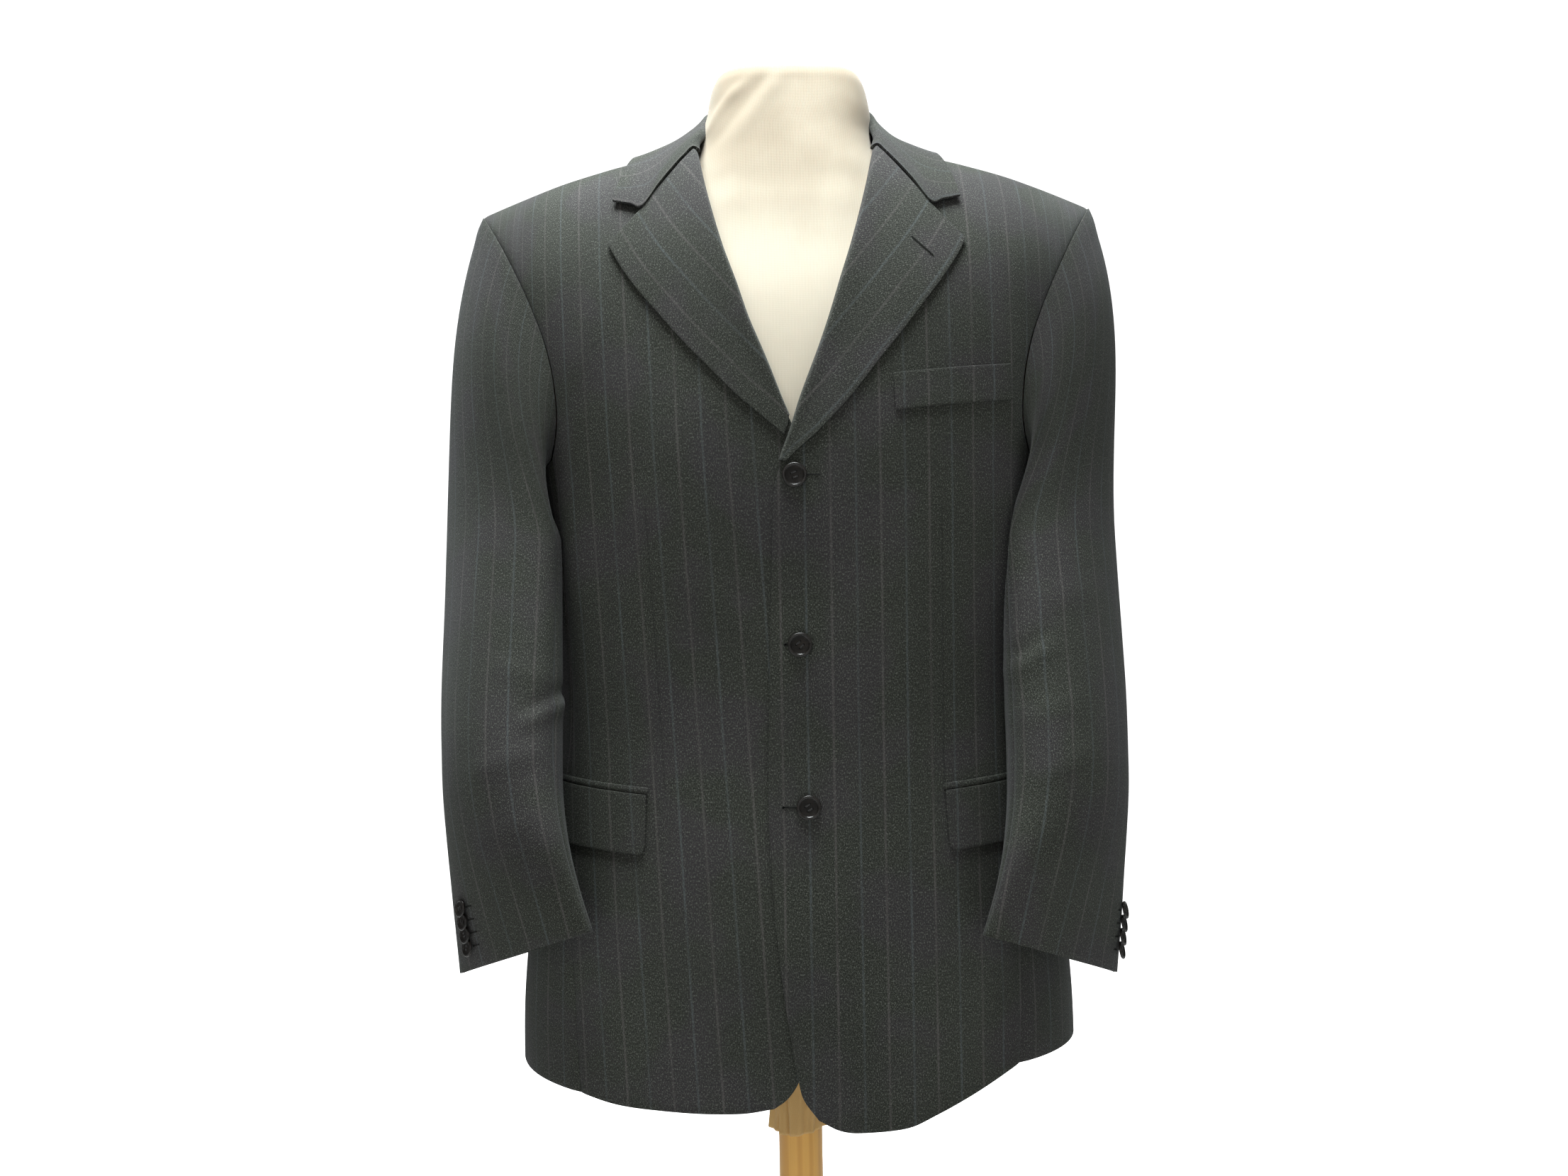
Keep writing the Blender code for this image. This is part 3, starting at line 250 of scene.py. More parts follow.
# Sleeve tube: level sections, each an ellipse whose long axis is turned towards the back
Tube = namedtuple("Tube", "height out forward long short turn tilt")
SLEEVE = [
    Tube(1.190, 0.2415, 0.050, 0.0730, 0.0370, 48, 0.000),
    Tube(1.150, 0.2412, 0.058, 0.0735, 0.0395, 50, 0.000),
    Tube(1.100, 0.2405, 0.070, 0.0740, 0.0420, 52, 0.000),
    Tube(1.060, 0.2398, 0.079, 0.0740, 0.0440, 54, 0.001),
    Tube(1.020, 0.2388, 0.088, 0.0740, 0.0440, 55, 0.003),
    Tube(0.980, 0.2372, 0.096, 0.0740, 0.0410, 52, 0.007),
    Tube(0.940, 0.2330, 0.103, 0.0745, 0.0350, 47, 0.013),
    Tube(0.895, 0.2271, 0.105, 0.0760, 0.0260, 41, 0.021),
    Tube(0.850, 0.2195, 0.104, 0.0785, 0.0190, 37, 0.028),
]
SWING = 0.0090              # the right sleeve hangs out and the left one in by this much
SWING_CUFF = 0.0085         # the same at the cuff
CUFF_LOWER = 0.008          # the left cuff hangs this much lower
SLEEVE_CLEAR = 6.5 * MM     # least distance from the sleeve to the body of the jacket
# Way the sleeve leaves the armhole: along the hole, out of the body and down
Leave = namedtuple("Leave", "hole out down")
LEAVE_TOP = Leave(0.40, 0.05, 0.92)
LEAVE_SIDE = Leave(0.38, 0.30, 0.87)
LEAVE_PIT = Leave(0.05, 0.75, 0.62)

# Pockets
FLAP_FRONT, FLAP_BACK = 0.1215, 0.2060
FLAP_TOP_FRONT, FLAP_TOP_BACK = 0.9830, 0.9880
FLAP_HEIGHT = 0.0490
FLAP_CORNER = 0.007
JET_HEIGHT = 0.0055
WELT_CORNERS = [Place(0.0843, 1.2911), Place(0.1835, 1.3034), Place(0.1818, 1.3326), Place(0.0832, 1.3214)]

# Buttons
BUTTON = 0.0200
BUTTON_THICK = 3.6 * MM
BUTTONS = [Place(0.0025, 1.2399), Place(0.0048, 1.1048), Place(0.0098, 0.9740)]
CUFF_BUTTON = 0.0150
CUFF_BUTTON_THICK = 2.4 * MM
CUFF_BUTTONS = 4
CUFF_PITCH = 0.0116
CUFF_FROM_HEM = 0.0190
CUFF_COLUMN = {"left": -0.4, "right": 1.2}      # column of the sleeve that they sit on
CUFF_LEAN = 17.0            # each cuff button overlies the next one down
CUFF_BUTTON_TURN = 40       # degrees from one cuff button's holes to the next one's

# Dress form: level sections up to the armhole, then the body's own arch, then the neck
FORM = [
    Level(0.780, 0.1200, 0.080, 0.080),
    Level(0.786, 0.1500, 0.105, 0.100),
    Level(0.810, 0.1680, 0.120, 0.115),
    Level(0.880, 0.1800, 0.128, 0.120),
    Level(0.960, 0.1800, 0.126, 0.110),
    Level(1.050, 0.1720, 0.124, 0.102),
    Level(1.150, 0.1850, 0.136, 0.116),
    Level(1.250, 0.2060, 0.147, 0.131),
    Level(1.350, 0.2200, 0.145, 0.138),
    Level(1.450, 0.2280, 0.144, 0.138),
    Level(1.600, 0.2300, 0.144, 0.138),
]
NECK = [
    Level(1.440, 0.1000, 0.1145, 0.085),
    Level(1.500, 0.0890, 0.0965, 0.070),
    Level(1.530, 0.0790, 0.0865, 0.058),
    Level(1.560, 0.0738, 0.0768, 0.053),
    Level(1.585, 0.0695, 0.0690, 0.050),
    Level(1.596, 0.0655, 0.065, 0.048),
    Level(1.602, 0.0600, 0.059, 0.043),
    Level(1.605, 0.0470, 0.047, 0.034),
]
FORM_RINGS = [
    0.780, 0.783, 0.795, 0.825, 0.880, 0.940, 1.000, 1.060, 1.120, 1.180, 1.240, 1.290, 1.340, 1.390,
    1.430, 1.460, 1.480, 1.495, 1.510, 1.523, 1.536, 1.550, 1.568, 1.584, 1.596, 1.602, 1.605,
]
FORM_ROUND = 1.9            # exponent of the form's own arch, rounder than the cloth's
SHOULDER_REST = 0.8 * MM    # the cloth rests this far over the form's shoulders
NECK_REST = 3.2 * MM        # and this much further over them beside the neck
NECK_START = 1.470
NECK_RISE_START, NECK_RISE = 1.420, 0.060   # the neck grows out of the shoulders over this height
NECK_BLEND = 0.012          # how softly it runs into them
NECK_ROUND = 3.4            # exponent of the neck's level sections in front

# Stand
POLE_RADIUS = 0.0196
TAIL_TOP, TAIL_BOTTOM = 0.7797, 0.6700
TAIL_PLEATS = 11
TAIL = [
    Place(0.0340, TAIL_TOP),
    Place(0.0275, 0.7600),
    Place(0.0235, 0.7350),
    Place(0.0232, 0.7120),
    Place(0.0250, 0.6900),
    Place(0.0262, TAIL_BOTTOM),
]
BASE_RADIUS, BASE_HEIGHT = 0.200, 0.022

# How finely each run of rows or columns is divided
SEAM_ROWS = [0.00, 0.035, 0.08, 0.16, 0.26, 0.37, 0.48, 0.60, 0.72, 0.85, 1.00]
ARMHOLE_ROWS = [0.11, 0.22, 0.34, 0.46, 0.58, 0.70, 0.81, 0.91, 1.00]
FRONT_COLUMNS = [0.00, 0.10, 0.20, 0.32, 0.45, 0.58, 0.72, 0.86, 1.00]
BACK_COLUMNS = [0.00, 0.11, 0.195, 0.257, 0.294, 0.3131, 0.45, 0.62, 0.81, 1.00]
SIDE_COLUMNS = 4
CAP_ROWS = [0.0, 0.06, 0.15, 0.28, 0.44, 0.62, 0.81, 1.0]
RING_FINE = 6               # columns of the sleeve for one of the plain model's
SEAM_FINE = 8
COLUMN_FINE = 7
CAP_FINE = 4
LEVEL_FINE = 8
SLEEVE_COLUMNS = RING_FINE * (2 * len(ARMHOLE_ROWS) + SIDE_COLUMNS)
FRONT_SEAM_COLUMN = RING_FINE * len(ARMHOLE_ROWS)
BACK_SEAM_COLUMN = {"left": SLEEVE_COLUMNS - 2 * RING_FINE, "right": SLEEVE_COLUMNS - RING_FINE}
LAPEL_ROWS = 120
FORM_COLUMNS = 144
FORM_FINE = 5
HEM_FACING_ROWS = 13        # rows at the hem whose inside is turned-up cloth
CUFF_FACING_ROWS = 6
THREAD_SIDES = 8
BUTTON_SIDES = 64
HOLE_SIZE, HOLE_PLACE = 0.090, 0.140        # of a button's holes, as shares of its diameter
DISH_REACH, DISH_LEVEL = 0.68, 0.62         # of the flat dish, as shares of radius and thickness
FOOT_REACH = 0.70                           # of the flat underside, as a share of the radius
# A button's rim from the foot up and in to the dish, as shares of radius and thickness
BUTTON_RIM = [
    (FOOT_REACH, 0.00), (0.93, 0.16), (0.99, 0.36), (1.00, 0.55), (0.985, 0.76), (0.94, 0.92),
    (0.87, 1.00), (0.80, 0.95), (0.745, 0.80), (0.715, 0.67), (DISH_REACH, DISH_LEVEL),
]
BUTTON_THREAD, THREAD_APART = 0.28 * MM, 0.32 * MM      # radius, and half the gap between two turns
RIM_THREAD, RIM_RISE = 0.34 * MM, 0.12 * MM             # of the thread round a buttonhole
# Half width, rise and thickness of the near-black sheet that paints the slit's shade
SLIT_HALF, SLIT_RISE, SLIT_WALL = 0.42 * MM, 0.10 * MM, 0.08 * MM
CUFF_THREAD, CUFF_THREADS_APART, CUFF_THREAD_RISE = 0.30 * MM, 0.35 * MM, 0.15 * MM
CUFF_THREAD_START, CUFF_THREAD_REACH = 1.1, 2.9         # in columns of the sleeve from the buttons' own
BUTTON_TURNS = (20, 45, 30)                 # how far each front button is turned, in degrees
BUTTONHOLE_REACH = (-0.0010, -0.0108, -0.0195)  # from each button to its buttonhole's eye
BUTTONHOLE_LENGTH, BUTTONHOLE_EYE = 0.021, 1.1 * MM
LAPEL_BUTTONHOLE = (Place(0.1008, 1.4336), Place(0.1179, 1.4183))
FRONT_LEAN = 0.055          # how much the right front's stripes lean
FORM_SINK = 0.6 * MM        # the form keeps this much further below the finer cloth
TAIL_CLOTH = 0.6 * MM
TAIL_ROWS, PLEAT_FINE = 60, 24
LEAST_CUT = 0.011           # a jet is cut twice as high as it shows, and folded
BACK_STRIPE_SHIFT = 0.0105  # from the centre back seam to the nearest stripe's middle
BEYOND_ARMHOLE = Vector((0.30, 0.0, 1.36))  # a place on the sleeve's side of the armhole
NO_LINING = -1              # for a piece whose underside is its own cloth
STEP = 1e-4                 # distance over which slopes are measured
ARC_REACH, ARC_STEPS = 0.237, 60            # place across up to which the chest's arc is measured
CLIMB_ACROSS, CLIMB_STEPS = 0.12, 30        # place across at which the climb is measured
UP = Vector((0, 0, 1))


class Curve:
    """A smooth curve through the rows of a table, from one of its columns to another."""

    def __init__(self, table, key, column):
        rows = sorted(table, key=lambda row: getattr(row, key))
        self.keys = [getattr(row, key) for row in rows]
        self.values = [getattr(row, column) for row in rows]
        last = len(rows) - 1
        self.slopes = [(self.values[min(k + 1, last)] - self.values[max(k - 1, 0)])
                       / (self.keys[min(k + 1, last)] - self.keys[max(k - 1, 0)]) for k in range(last + 1)]

    def __call__(self, value):
        keys, values, slopes = self.keys, self.values, self.slopes
        if value <= keys[0]:
            return values[0] + (value - keys[0]) * slopes[0]
        if value >= keys[-1]:
            return values[-1] + (value - keys[-1]) * slopes[-1]
        i = bisect_right(keys, value) - 1
        span = keys[i + 1] - keys[i]
        t = (value - keys[i]) / span
        return hermite(values[i], slopes[i] * span, values[i + 1], slopes[i + 1] * span, t)


def hermite(start, leave, end, arrive, t):
    """Cubic from start to end with the given tangents."""
    return (start * (2 * t**3 - 3 * t**2 + 1) + leave * (t**3 - 2 * t**2 + t)
            + end * (3 * t**2 - 2 * t**3) + arrive * (t**3 - t**2))


def ease(t):
    t = min(1.0, max(0.0, t))
    return t * t * (3 - 2 * t)


def mix(a, b, t):
    return a + (b - a) * t


def refined(values, times):
    """A run of values with each interval divided evenly."""
    fine = [mix(a, b, k / times) for a, b in zip(values, values[1:]) for k in range(times)]
    return fine + [values[-1]]


WIDTH = Curve(BODY, "height", "half_width")
FRONT_DEPTH = Curve(BODY, "height", "front_depth")
BACK_DEPTH = Curve(BODY, "height", "back_depth")
RIDGE = Curve(SHOULDER, "across", "height")
FRONT_SEAM = Curve(SIDE_SEAMS, "share", "front")
BACK_SEAM = Curve(SIDE_SEAMS, "share", "back")


def arch_round(x, back):
    return mix(NAPE_ROUND, SHOULDER_ROUND, ease(abs(x) / NAPE_WIDTH)) if back else SHOULDER_ROUND


def unroll(x, z, back=False):
    """Unrolled height of a place on the front or back."""
    if z <= CHEST:
        return z
    share = min(1.0, (z - CHEST) / (RIDGE(abs(x)) - CHEST))
    return CHEST + ARCH * math.asin(share ** (arch_round(x, back) / 2)) / (math.pi / 2)


def body(x, w, back=False):
    """Point of the body surface at x and unrolled height w, on the front or back."""
    if w > CREST:
        w, back = 2 * CREST - w, not back
    z, shrink = w, 1.0
    if w > CHEST:
        turn = (w - CHEST) / ARCH * math.pi / 2
        power = 2 / arch_round(x, back)
        z = CHEST + (RIDGE(abs(x)) - CHEST) * math.sin(turn) ** power
        shrink = max(0.0, math.cos(turn)) ** power
    depth = BACK_DEPTH(z) if back else FRONT_DEPTH(z)
    y = depth * (1 - min(1.0, abs(x) / WIDTH(z)) ** ROUND) ** (1 / ROUND) * shrink
    return Vector((x, y if back else -y, z))


def body_normal(x, w, back=False):
    """Outward normal of the body surface."""
    low = min(w, CREST - 2 * STEP) if w <= CREST else max(w, CREST + 2 * STEP)
    across = body(x + STEP, low, back) - body(x - STEP, low, back)
    up = body(x, low + STEP, back) - body(x, low - STEP, back)
    normal = across.cross(up).normalized()
    return -normal if back else normal


def girth(angle, z):
    """Point and outward normal of the body surface below the chest, by angle from the front."""
    def point(a, height):
        depth = FRONT_DEPTH(height) if math.cos(a) > 0 else BACK_DEPTH(height)
        x = WIDTH(height) * abs(math.sin(a)) ** (2 / ROUND)
        y = depth * abs(math.cos(a)) ** (2 / ROUND)
        return Vector((x, math.copysign(y, -math.cos(a)), height))
    around = point(angle + STEP, z) - point(angle - STEP, z)
    up = point(angle, z + STEP) - point(angle, z - STEP)
    return point(angle, z), around.cross(up).normalized()


def lap(x):
    """Rise of the left front over the right one."""
    return LAP_RISE * ease((LAP_NONE - x) / (LAP_NONE - LAP_FULL))


def mirrored(point, side):
    """A point made for the left side, taken to the given side (+1 left, -1 right)."""
    return Vector((point.x * side, point.y, point.z))


# Creases and soft folds, as seen from the front or the back: from place to place, with width and height
Crease = namedtuple("Crease", "x1 z1 x2 z2 width height")
FRONT_CREASES = [
    Crease(0.150, 1.435, 0.164, 1.345, 0.011, 1.3 * MM),
    Crease(0.181, 1.370, 0.180, 1.270, 0.009, 1.2 * MM),
    Crease(0.186, 1.235, 0.176, 1.130, 0.013, 1.0 * MM),
    Crease(0.120, 1.300, 0.128, 1.200, 0.016, 0.7 * MM),
    Crease(-0.146, 1.440, -0.166, 1.340, 0.012, 1.2 * MM),
    Crease(-0.178, 1.360, -0.181, 1.250, 0.009, 1.4 * MM),
    Crease(-0.187, 1.225, -0.178, 1.130, 0.012, 1.1 * MM),
    Crease(-0.105, 1.290, -0.112, 1.190, 0.018, 0.8 * MM),
    Crease(0.105, 1.165, 0.040, 1.122, 0.012, 0.5 * MM),
    Crease(-0.110, 1.170, -0.035, 1.120, 0.013, 0.6 * MM),
    Crease(0.150, 0.900, 0.162, 0.790, 0.016, 1.2 * MM),
    Crease(-0.060, 0.880, -0.066, 0.770, 0.020, 0.9 * MM),
    Crease(-0.150, 0.900, -0.158, 0.780, 0.018, 1.1 * MM),
]
BACK_CREASES = [
    Crease(0.060, 1.420, 0.070, 1.280, 0.018, 1.0 * MM),
    Crease(-0.052, 1.430, -0.068, 1.290, 0.017, 1.1 * MM),
    Crease(0.160, 1.390, 0.168, 1.260, 0.012, 1.5 * MM),
    Crease(-0.158, 1.400, -0.170, 1.270, 0.013, 1.4 * MM),
    Crease(0.080, 0.930, 0.090, 0.800, 0.020, 1.3 * MM),
    Crease(-0.070, 0.950, -0.088, 0.800, 0.020, 1.2 * MM),
    Crease(0.030, 1.110, 0.100, 1.080, 0.012, 0.7 * MM),
    Crease(-0.025, 1.120, -0.110, 1.075, 0.012, 0.7 * MM),
]
SLEEVE_FRONT_CREASES = [
    Crease(-0.2175, 1.0560, -0.1870, 1.0700, 0.0045, -1.7 * MM),
    Crease(-0.2200, 1.0440, -0.1860, 1.0590, 0.0070, 1.9 * MM),
    Crease(-0.2450, 1.0900, -0.2000, 1.0800, 0.0090, 1.2 * MM),
    Crease(-0.2600, 1.0050, -0.2050, 1.0250, 0.0100, 1.3 * MM),
    Crease(-0.2350, 1.3000, -0.2250, 1.2200, 0.0110, 1.3 * MM),
    Crease(-0.2600, 0.9400, -0.2150, 0.9700, 0.0110, 0.9 * MM),
    Crease(0.1800, 1.0910, 0.2080, 1.1110, 0.0045, -1.7 * MM),
    Crease(0.1790, 1.0780, 0.2100, 1.1010, 0.0070, 2.0 * MM),
    Crease(0.1830, 1.0400, 0.2300, 1.0560, 0.0090, 1.2 * MM),
    Crease(0.2000, 1.1380, 0.2500, 1.1450, 0.0110, 1.0 * MM),
    Crease(0.1850, 0.9950, 0.2400, 1.0150, 0.0100, 1.2 * MM),
    Crease(0.2280, 1.3000, 0.2160, 1.2200, 0.0110, 1.3 * MM),
]
SLEEVE_BACK_CREASES = [
    Crease(-0.2900, 1.0700, -0.2350, 1.0900, 0.0090, 1.4 * MM),
    Crease(-0.2850, 1.0350, -0.2350, 1.0450, 0.0080, 1.2 * MM),
    Crease(-0.2500, 1.3000, -0.2450, 1.2000, 0.0120, 1.6 * MM),
    Crease(0.2200, 1.0850, 0.2700, 1.0650, 0.0090, 1.4 * MM),
    Crease(0.2200, 1.0450, 0.2650, 1.0350, 0.0080, 1.2 * MM),
    Crease(0.2450, 1.2950, 0.2400, 1.1950, 0.0120, 1.5 * MM),
]
NECK_CREASES = [
    Crease(-0.0680, 1.5430, -0.0340, 1.5850, 0.0035, 1.6 * MM),
    Crease(-0.0600, 1.5300, -0.0150, 1.5900, 0.0050, -1.2 * MM),
    Crease(-0.0620, 1.5560, -0.0430, 1.5800, 0.0030, 1.3 * MM),
    Crease(-0.0450, 1.5300, 0.0000, 1.5930, 0.0070, 1.0 * MM),
]


def crease_relief(creases, x, z):
    """Height of the listed creases at a place."""
    total = 0.0
    for c in creases:
        dx, dz = c.x2 - c.x1, c.z2 - c.z1
        length = dx * dx + dz * dz
        t = ((x - c.x1) * dx + (z - c.z1) * dz) / length
        if not -0.5 < t < 1.5:
            continue
        gap = abs((x - c.x1) * dz - (z - c.z1) * dx) / math.sqrt(length)
        if gap > 3 * c.width:
            continue
        ends = ease((t + 0.25) / 0.5) * ease((1.25 - t) / 0.5)
        total += c.height * ends * math.exp(-((gap / c.width) ** 2))
    return total


def ripple(point):
    """Slow unevenness of the hanging cloth, the same for pieces that lie on each other."""
    calm = ease((1.545 - point.z) / 0.06)
    broad = noise.noise(point * 8.0 + Vector((3.1, 0.0, 7.7)))
    fine = noise.noise(Vector((point.x * 26.0, point.y * 26.0, point.z * 11.0)))
    return (0.8 * MM * broad + 0.25 * MM * fine) * calm


def groove(distance):
    """Dip of the cloth beside a seam."""
    return -0.8 * MM * math.exp(-((distance / (2.4 * MM)) ** 2))


# Pieces of cloth
def running(points):
    """Lengths from the start of a run of points to each of them."""
    lengths = [0.0]
    for a, b in zip(points, points[1:]):
        lengths.append(lengths[-1] + (b - a).length)
    return lengths


def spline(points, times):
    """A smooth run through points, with each gap divided evenly."""
    last = len(points) - 1
    fine = []
    for i in range(last):
        leave = (points[i + 1] - points[max(i - 1, 0)]) / 2
        arrive = (points[min(i + 2, last)] - points[i]) / 2
        fine += [hermite(points[i], leave, points[i + 1], arrive, k / times) for k in range(times)]
    return fine + [points[last]]


def finish_piece(name, bm, materials, nodes):
    """Make an object of a bmesh, give it its body, and hide the CAD nodes that it replaces."""
    mesh = bpy.data.meshes.new(name)
    bm.to_mesh(mesh)
    bm.free()
    for material in materials:
        mesh.materials.append(material)
    mesh.shade_smooth()
    piece = bpy.data.objects.new(name, mesh)
    bpy.context.collection.objects.link(piece)
    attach(piece, "root")
    if nodes:
        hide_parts(*nodes)
    return piece


def round_edges(piece, width):
    """Rounded edges, and crisp shading between the two faces of a wall."""
    bevel = piece.modifiers.new("rounded_edge", "BEVEL")
    bevel.width = width
    bevel.segments = 2
    bevel.limit_method = "ANGLE"
    bevel.angle_limit = math.radians(50)
    bevel.harden_normals = False
    bevel.miter_outer = "MITER_ARC"


def cloth_piece(name, outer, inner, flat, facing=0):
    """A wall of cloth between two grids, with the flat cloth's places as its UV map."""
    rows, columns = len(outer), len(outer[0])
    bm = bmesh.new()
    bmesh.ops.create_grid(bm, x_segments=columns - 1, y_segments=rows - 1, size=1.0)
    number = bm.verts.layers.int.new("number")
    under = bm.verts.layers.int.new("under")
    for index, vert in enumerate(bm.verts):
        vert[number] = index
        vert.co = outer[index // columns][index % columns]
    grown = bmesh.ops.extrude_face_region(bm, geom=bm.faces[:], use_keep_orig=True)["geom"]
    for vert in (item for item in grown if isinstance(item, bmesh.types.BMVert)):
        vert[under] = 1
        vert.co = inner[vert[number] // columns][vert[number] % columns]
    places = bm.loops.layers.uv.new("cloth")
    for face in bm.faces:
        lined = all(vert[under] and vert[number] // columns >= facing for vert in face.verts)
        face.material_index = 1 if lined and facing != NO_LINING else 0
        for loop in face.loops:
            spot = loop.vert[number]
            loop[places].uv = flat[spot // columns][spot % columns]
    bmesh.ops.recalc_face_normals(bm, faces=bm.faces[:])
    look = DART_SHADED_CLOTH_LOOK if name.startswith("front_") else CLOTH_LOOK
    piece = finish_piece(name + "_cloth", bm, [look, LINING_LOOK], [name])
    round_edges(piece, 0.5 * MM)
    width = max(running(row)[-1] for row in outer)
    length = max(running(column)[-1] for column in zip(*outer))
    cut_from_cloth(width, length, grid_area(outer))
    return piece


def grid_area(grid):
    """The area of a grid of points."""
    return sum((b[k + 1] - a[k]).cross(b[k] - a[k + 1]).length / 2
               for a, b in zip(grid, grid[1:]) for k in range(len(a) - 1))


def cut_from_cloth(width, length, area):
    """Work out a piece's flat size as cloth; the result is not kept."""
    length = max(length, LEAST_CUT)
    min(area, width * length)


def arc_table():
    """Lengths round the chest from the centre front, by place across."""
    rows, spot, total = [Place(0.0, 0.0)], body(0.0, CHEST), 0.0
    for k in range(1, ARC_STEPS + 1):
        x = ARC_REACH * k / ARC_STEPS
        ahead = body(x, CHEST)
        total += (ahead - spot).length
        spot = ahead
        rows.append(Place(x, total))
    return rows


def climb_table():
    """Lengths up the cloth from the chest over the shoulder, by unrolled height."""
    x, rows, total = CLIMB_ACROSS, [Place(CHEST, CHEST)], CHEST
    spot = body(x, CHEST)
    for k in range(1, CLIMB_STEPS + 1):
        w = CHEST + ARCH * k / CLIMB_STEPS
        ahead = body(x, w)
        total += (ahead - spot).length
        spot = ahead
        rows.append(Place(w, total))
    return rows


ARC = Curve(arc_table(), "across", "height")
CLIMB = Curve(climb_table(), "across", "height")


def up_cloth(w):
    """Height on the flat cloth of an unrolled height."""
    return w if w < CHEST else CLIMB(w)


def stripe_place(x, w, side):
    """Place on the flat cloth of a front, so that the stripes hang as they do on the body."""
    lean = FRONT_LEAN if side.sign < 0 else 0.0
    return side.sign * math.copysign(ARC(abs(x)), x) + lean * (w - CHEST), up_cloth(w)


class Side:
    """The sizes of one side of the jacket: +1 is the wearer's left, -1 the right."""

    def __init__(self, sign, edge, hem, lapel_edge):
        self.sign = sign
        self.name = "left" if sign > 0 else "right"
        self.corner = edge[0]
        self.edge = Curve(edge, "height", "across")
        self.hem = Curve(hem, "across", "height")
        self.lapel_edge = Curve(lapel_edge, "height", "across")
        half_width = WIDTH(hem[-1].height)
        seam_x = half_width * math.sin(math.radians(SIDE_SEAMS[0].front)) ** (2 / ROUND)
        self.hem_side = self.hem(seam_x)

    def rise(self, x):
        return lap(x) if self.sign > 0 else 0.0

    def swell(self, point):
        """How far ripples and creases lift the cloth at a point made for the left side."""
        shown = mirrored(point, self.sign)
        creases = BACK_CREASES if point.y > 0.02 else FRONT_CREASES
        return ripple(shown) + crease_relief(creases, shown.x, shown.z)

    def side_seam(self, share, back):
        """Angle and height of a side seam."""
        armhole = (ARMHOLE_BACK if back else ARMHOLE_FRONT)[0]
        foot = mix(self.hem_side, HEM_BACK, 0.5) if back else self.hem_side
        angle = math.radians((BACK_SEAM if back else FRONT_SEAM)(share))
        top = math.asin((armhole.across / WIDTH(armhole.height)) ** (ROUND / 2))
        top = math.pi - top if back else top
        drawn = math.radians(SIDE_SEAMS[-1].back if back else SIDE_SEAMS[-1].front)
        return angle + (top - drawn) * share, mix(foot, armhole.height, share)


SEAM_ROWS_FINE = refined(SEAM_ROWS, SEAM_FINE)
ARMHOLE_ROWS_FINE = refined([0.0] + ARMHOLE_ROWS, RING_FINE)[1:]
FIRST_ARMHOLE_ROW = len(SEAM_ROWS_FINE) - 1


def armhole_place(table, curve, w):
    """Place on an armhole at an unrolled height."""
    back = table is ARMHOLE_BACK
    low, high = table[0].height, table[-1].height
    for _ in range(40):
        z = (low + high) / 2
        low, high = (z, high) if unroll(curve(z), z, back) < w else (low, z)
    return curve(high)


def outline_of(side, back):
    """Places down the outer edge of a front or back: its side seam, then its armhole."""
    table = ARMHOLE_BACK if back else ARMHOLE_FRONT
    curve = Curve(table, "height", "across")
    outline = []
    for share in SEAM_ROWS_FINE:
        angle, z = side.side_seam(share, back)
        outline.append((girth(angle, z)[0].x, z))
    for share in ARMHOLE_ROWS_FINE:
        w = mix(table[0].height, CREST, share)
        outline.append((SHOULDER_POINT if share == 1 else armhole_place(table, curve, w), w))
    return outline


def edge_across(side, w):
    """Place across of a front's inner edge at an unrolled height."""
    x = 0.05
    for _ in range(12):
        x = side.edge(body(x, w).z)
    return x


def back_neckline(x):
    """Unrolled height of the back's neck seam, which runs round an oval."""
    if x >= NECK_POINT:
        return CREST
    wanted = NECK_BACK * math.sqrt(1 - (x / NECK_POINT) ** 2)
    low, high = CHEST, CREST
    for _ in range(30):
        middle = (low + high) / 2
        low, high = (middle, high) if body(x, middle, True).y > wanted else (low, middle)
    return low


def front_grid(side):
    """Points, normals and flat places of a front, rows from hem to shoulder."""
    outline = outline_of(side, False)
    low, high = outline[0][1], outline[-1][1]
    points, normals, flat = [], [], []
    for x_out, w_out in outline:
        share = (w_out - low) / (high - low)
        w_in = w_out + (side.corner.height - low) * (1 - share) ** 6
        x_in = edge_across(side, w_in)
        row, turned_row, flat_row = [], [], []
        for u in refined(FRONT_COLUMNS, COLUMN_FINE):
            x, w = mix(x_in, x_out, u), mix(w_in, w_out, u)
            if share == 0 and u < 1:
                w = side.hem(x)
            normal = body_normal(x, w)
            row.append(body(x, w) + normal * side.rise(x))
            turned_row.append(normal)
            flat_row.append(stripe_place(x, w, side))
        points.append(row)
        normals.append(turned_row)
        flat.append(flat_row)
    return points, normals, flat


def back_grid(side):
    """Points, normals and flat places of a back, from the centre seam to the side seam."""
    outline = outline_of(side, True)
    low, high = outline[0][1], outline[-1][1]
    columns = refined(BACK_COLUMNS, COLUMN_FINE - 2)
    tops = [back_neckline(u * SHOULDER_POINT) for u in columns]
    points, normals, flat = [], [], []
    for x_out, w_out in outline:
        share = (w_out - low) / (high - low)
        row, turned_row, flat_row = [], [], []
        for u, top in zip(columns, tops):
            x = x_out * u
            w = mix(mix(HEM_BACK, low, ease(u)), top, share)
            normal = body_normal(x, w, True)
            if u == 0:
                normal = Vector((0, normal.y, normal.z)).normalized()
            row.append(body(x, w, True))
            turned_row.append(normal)
            flat_row.append((-side.sign * (ARC(x) + BACK_STRIPE_SHIFT), up_cloth(w)))
        points.append(row)
        normals.append(turned_row)
        flat.append(flat_row)
    return points, normals, flat


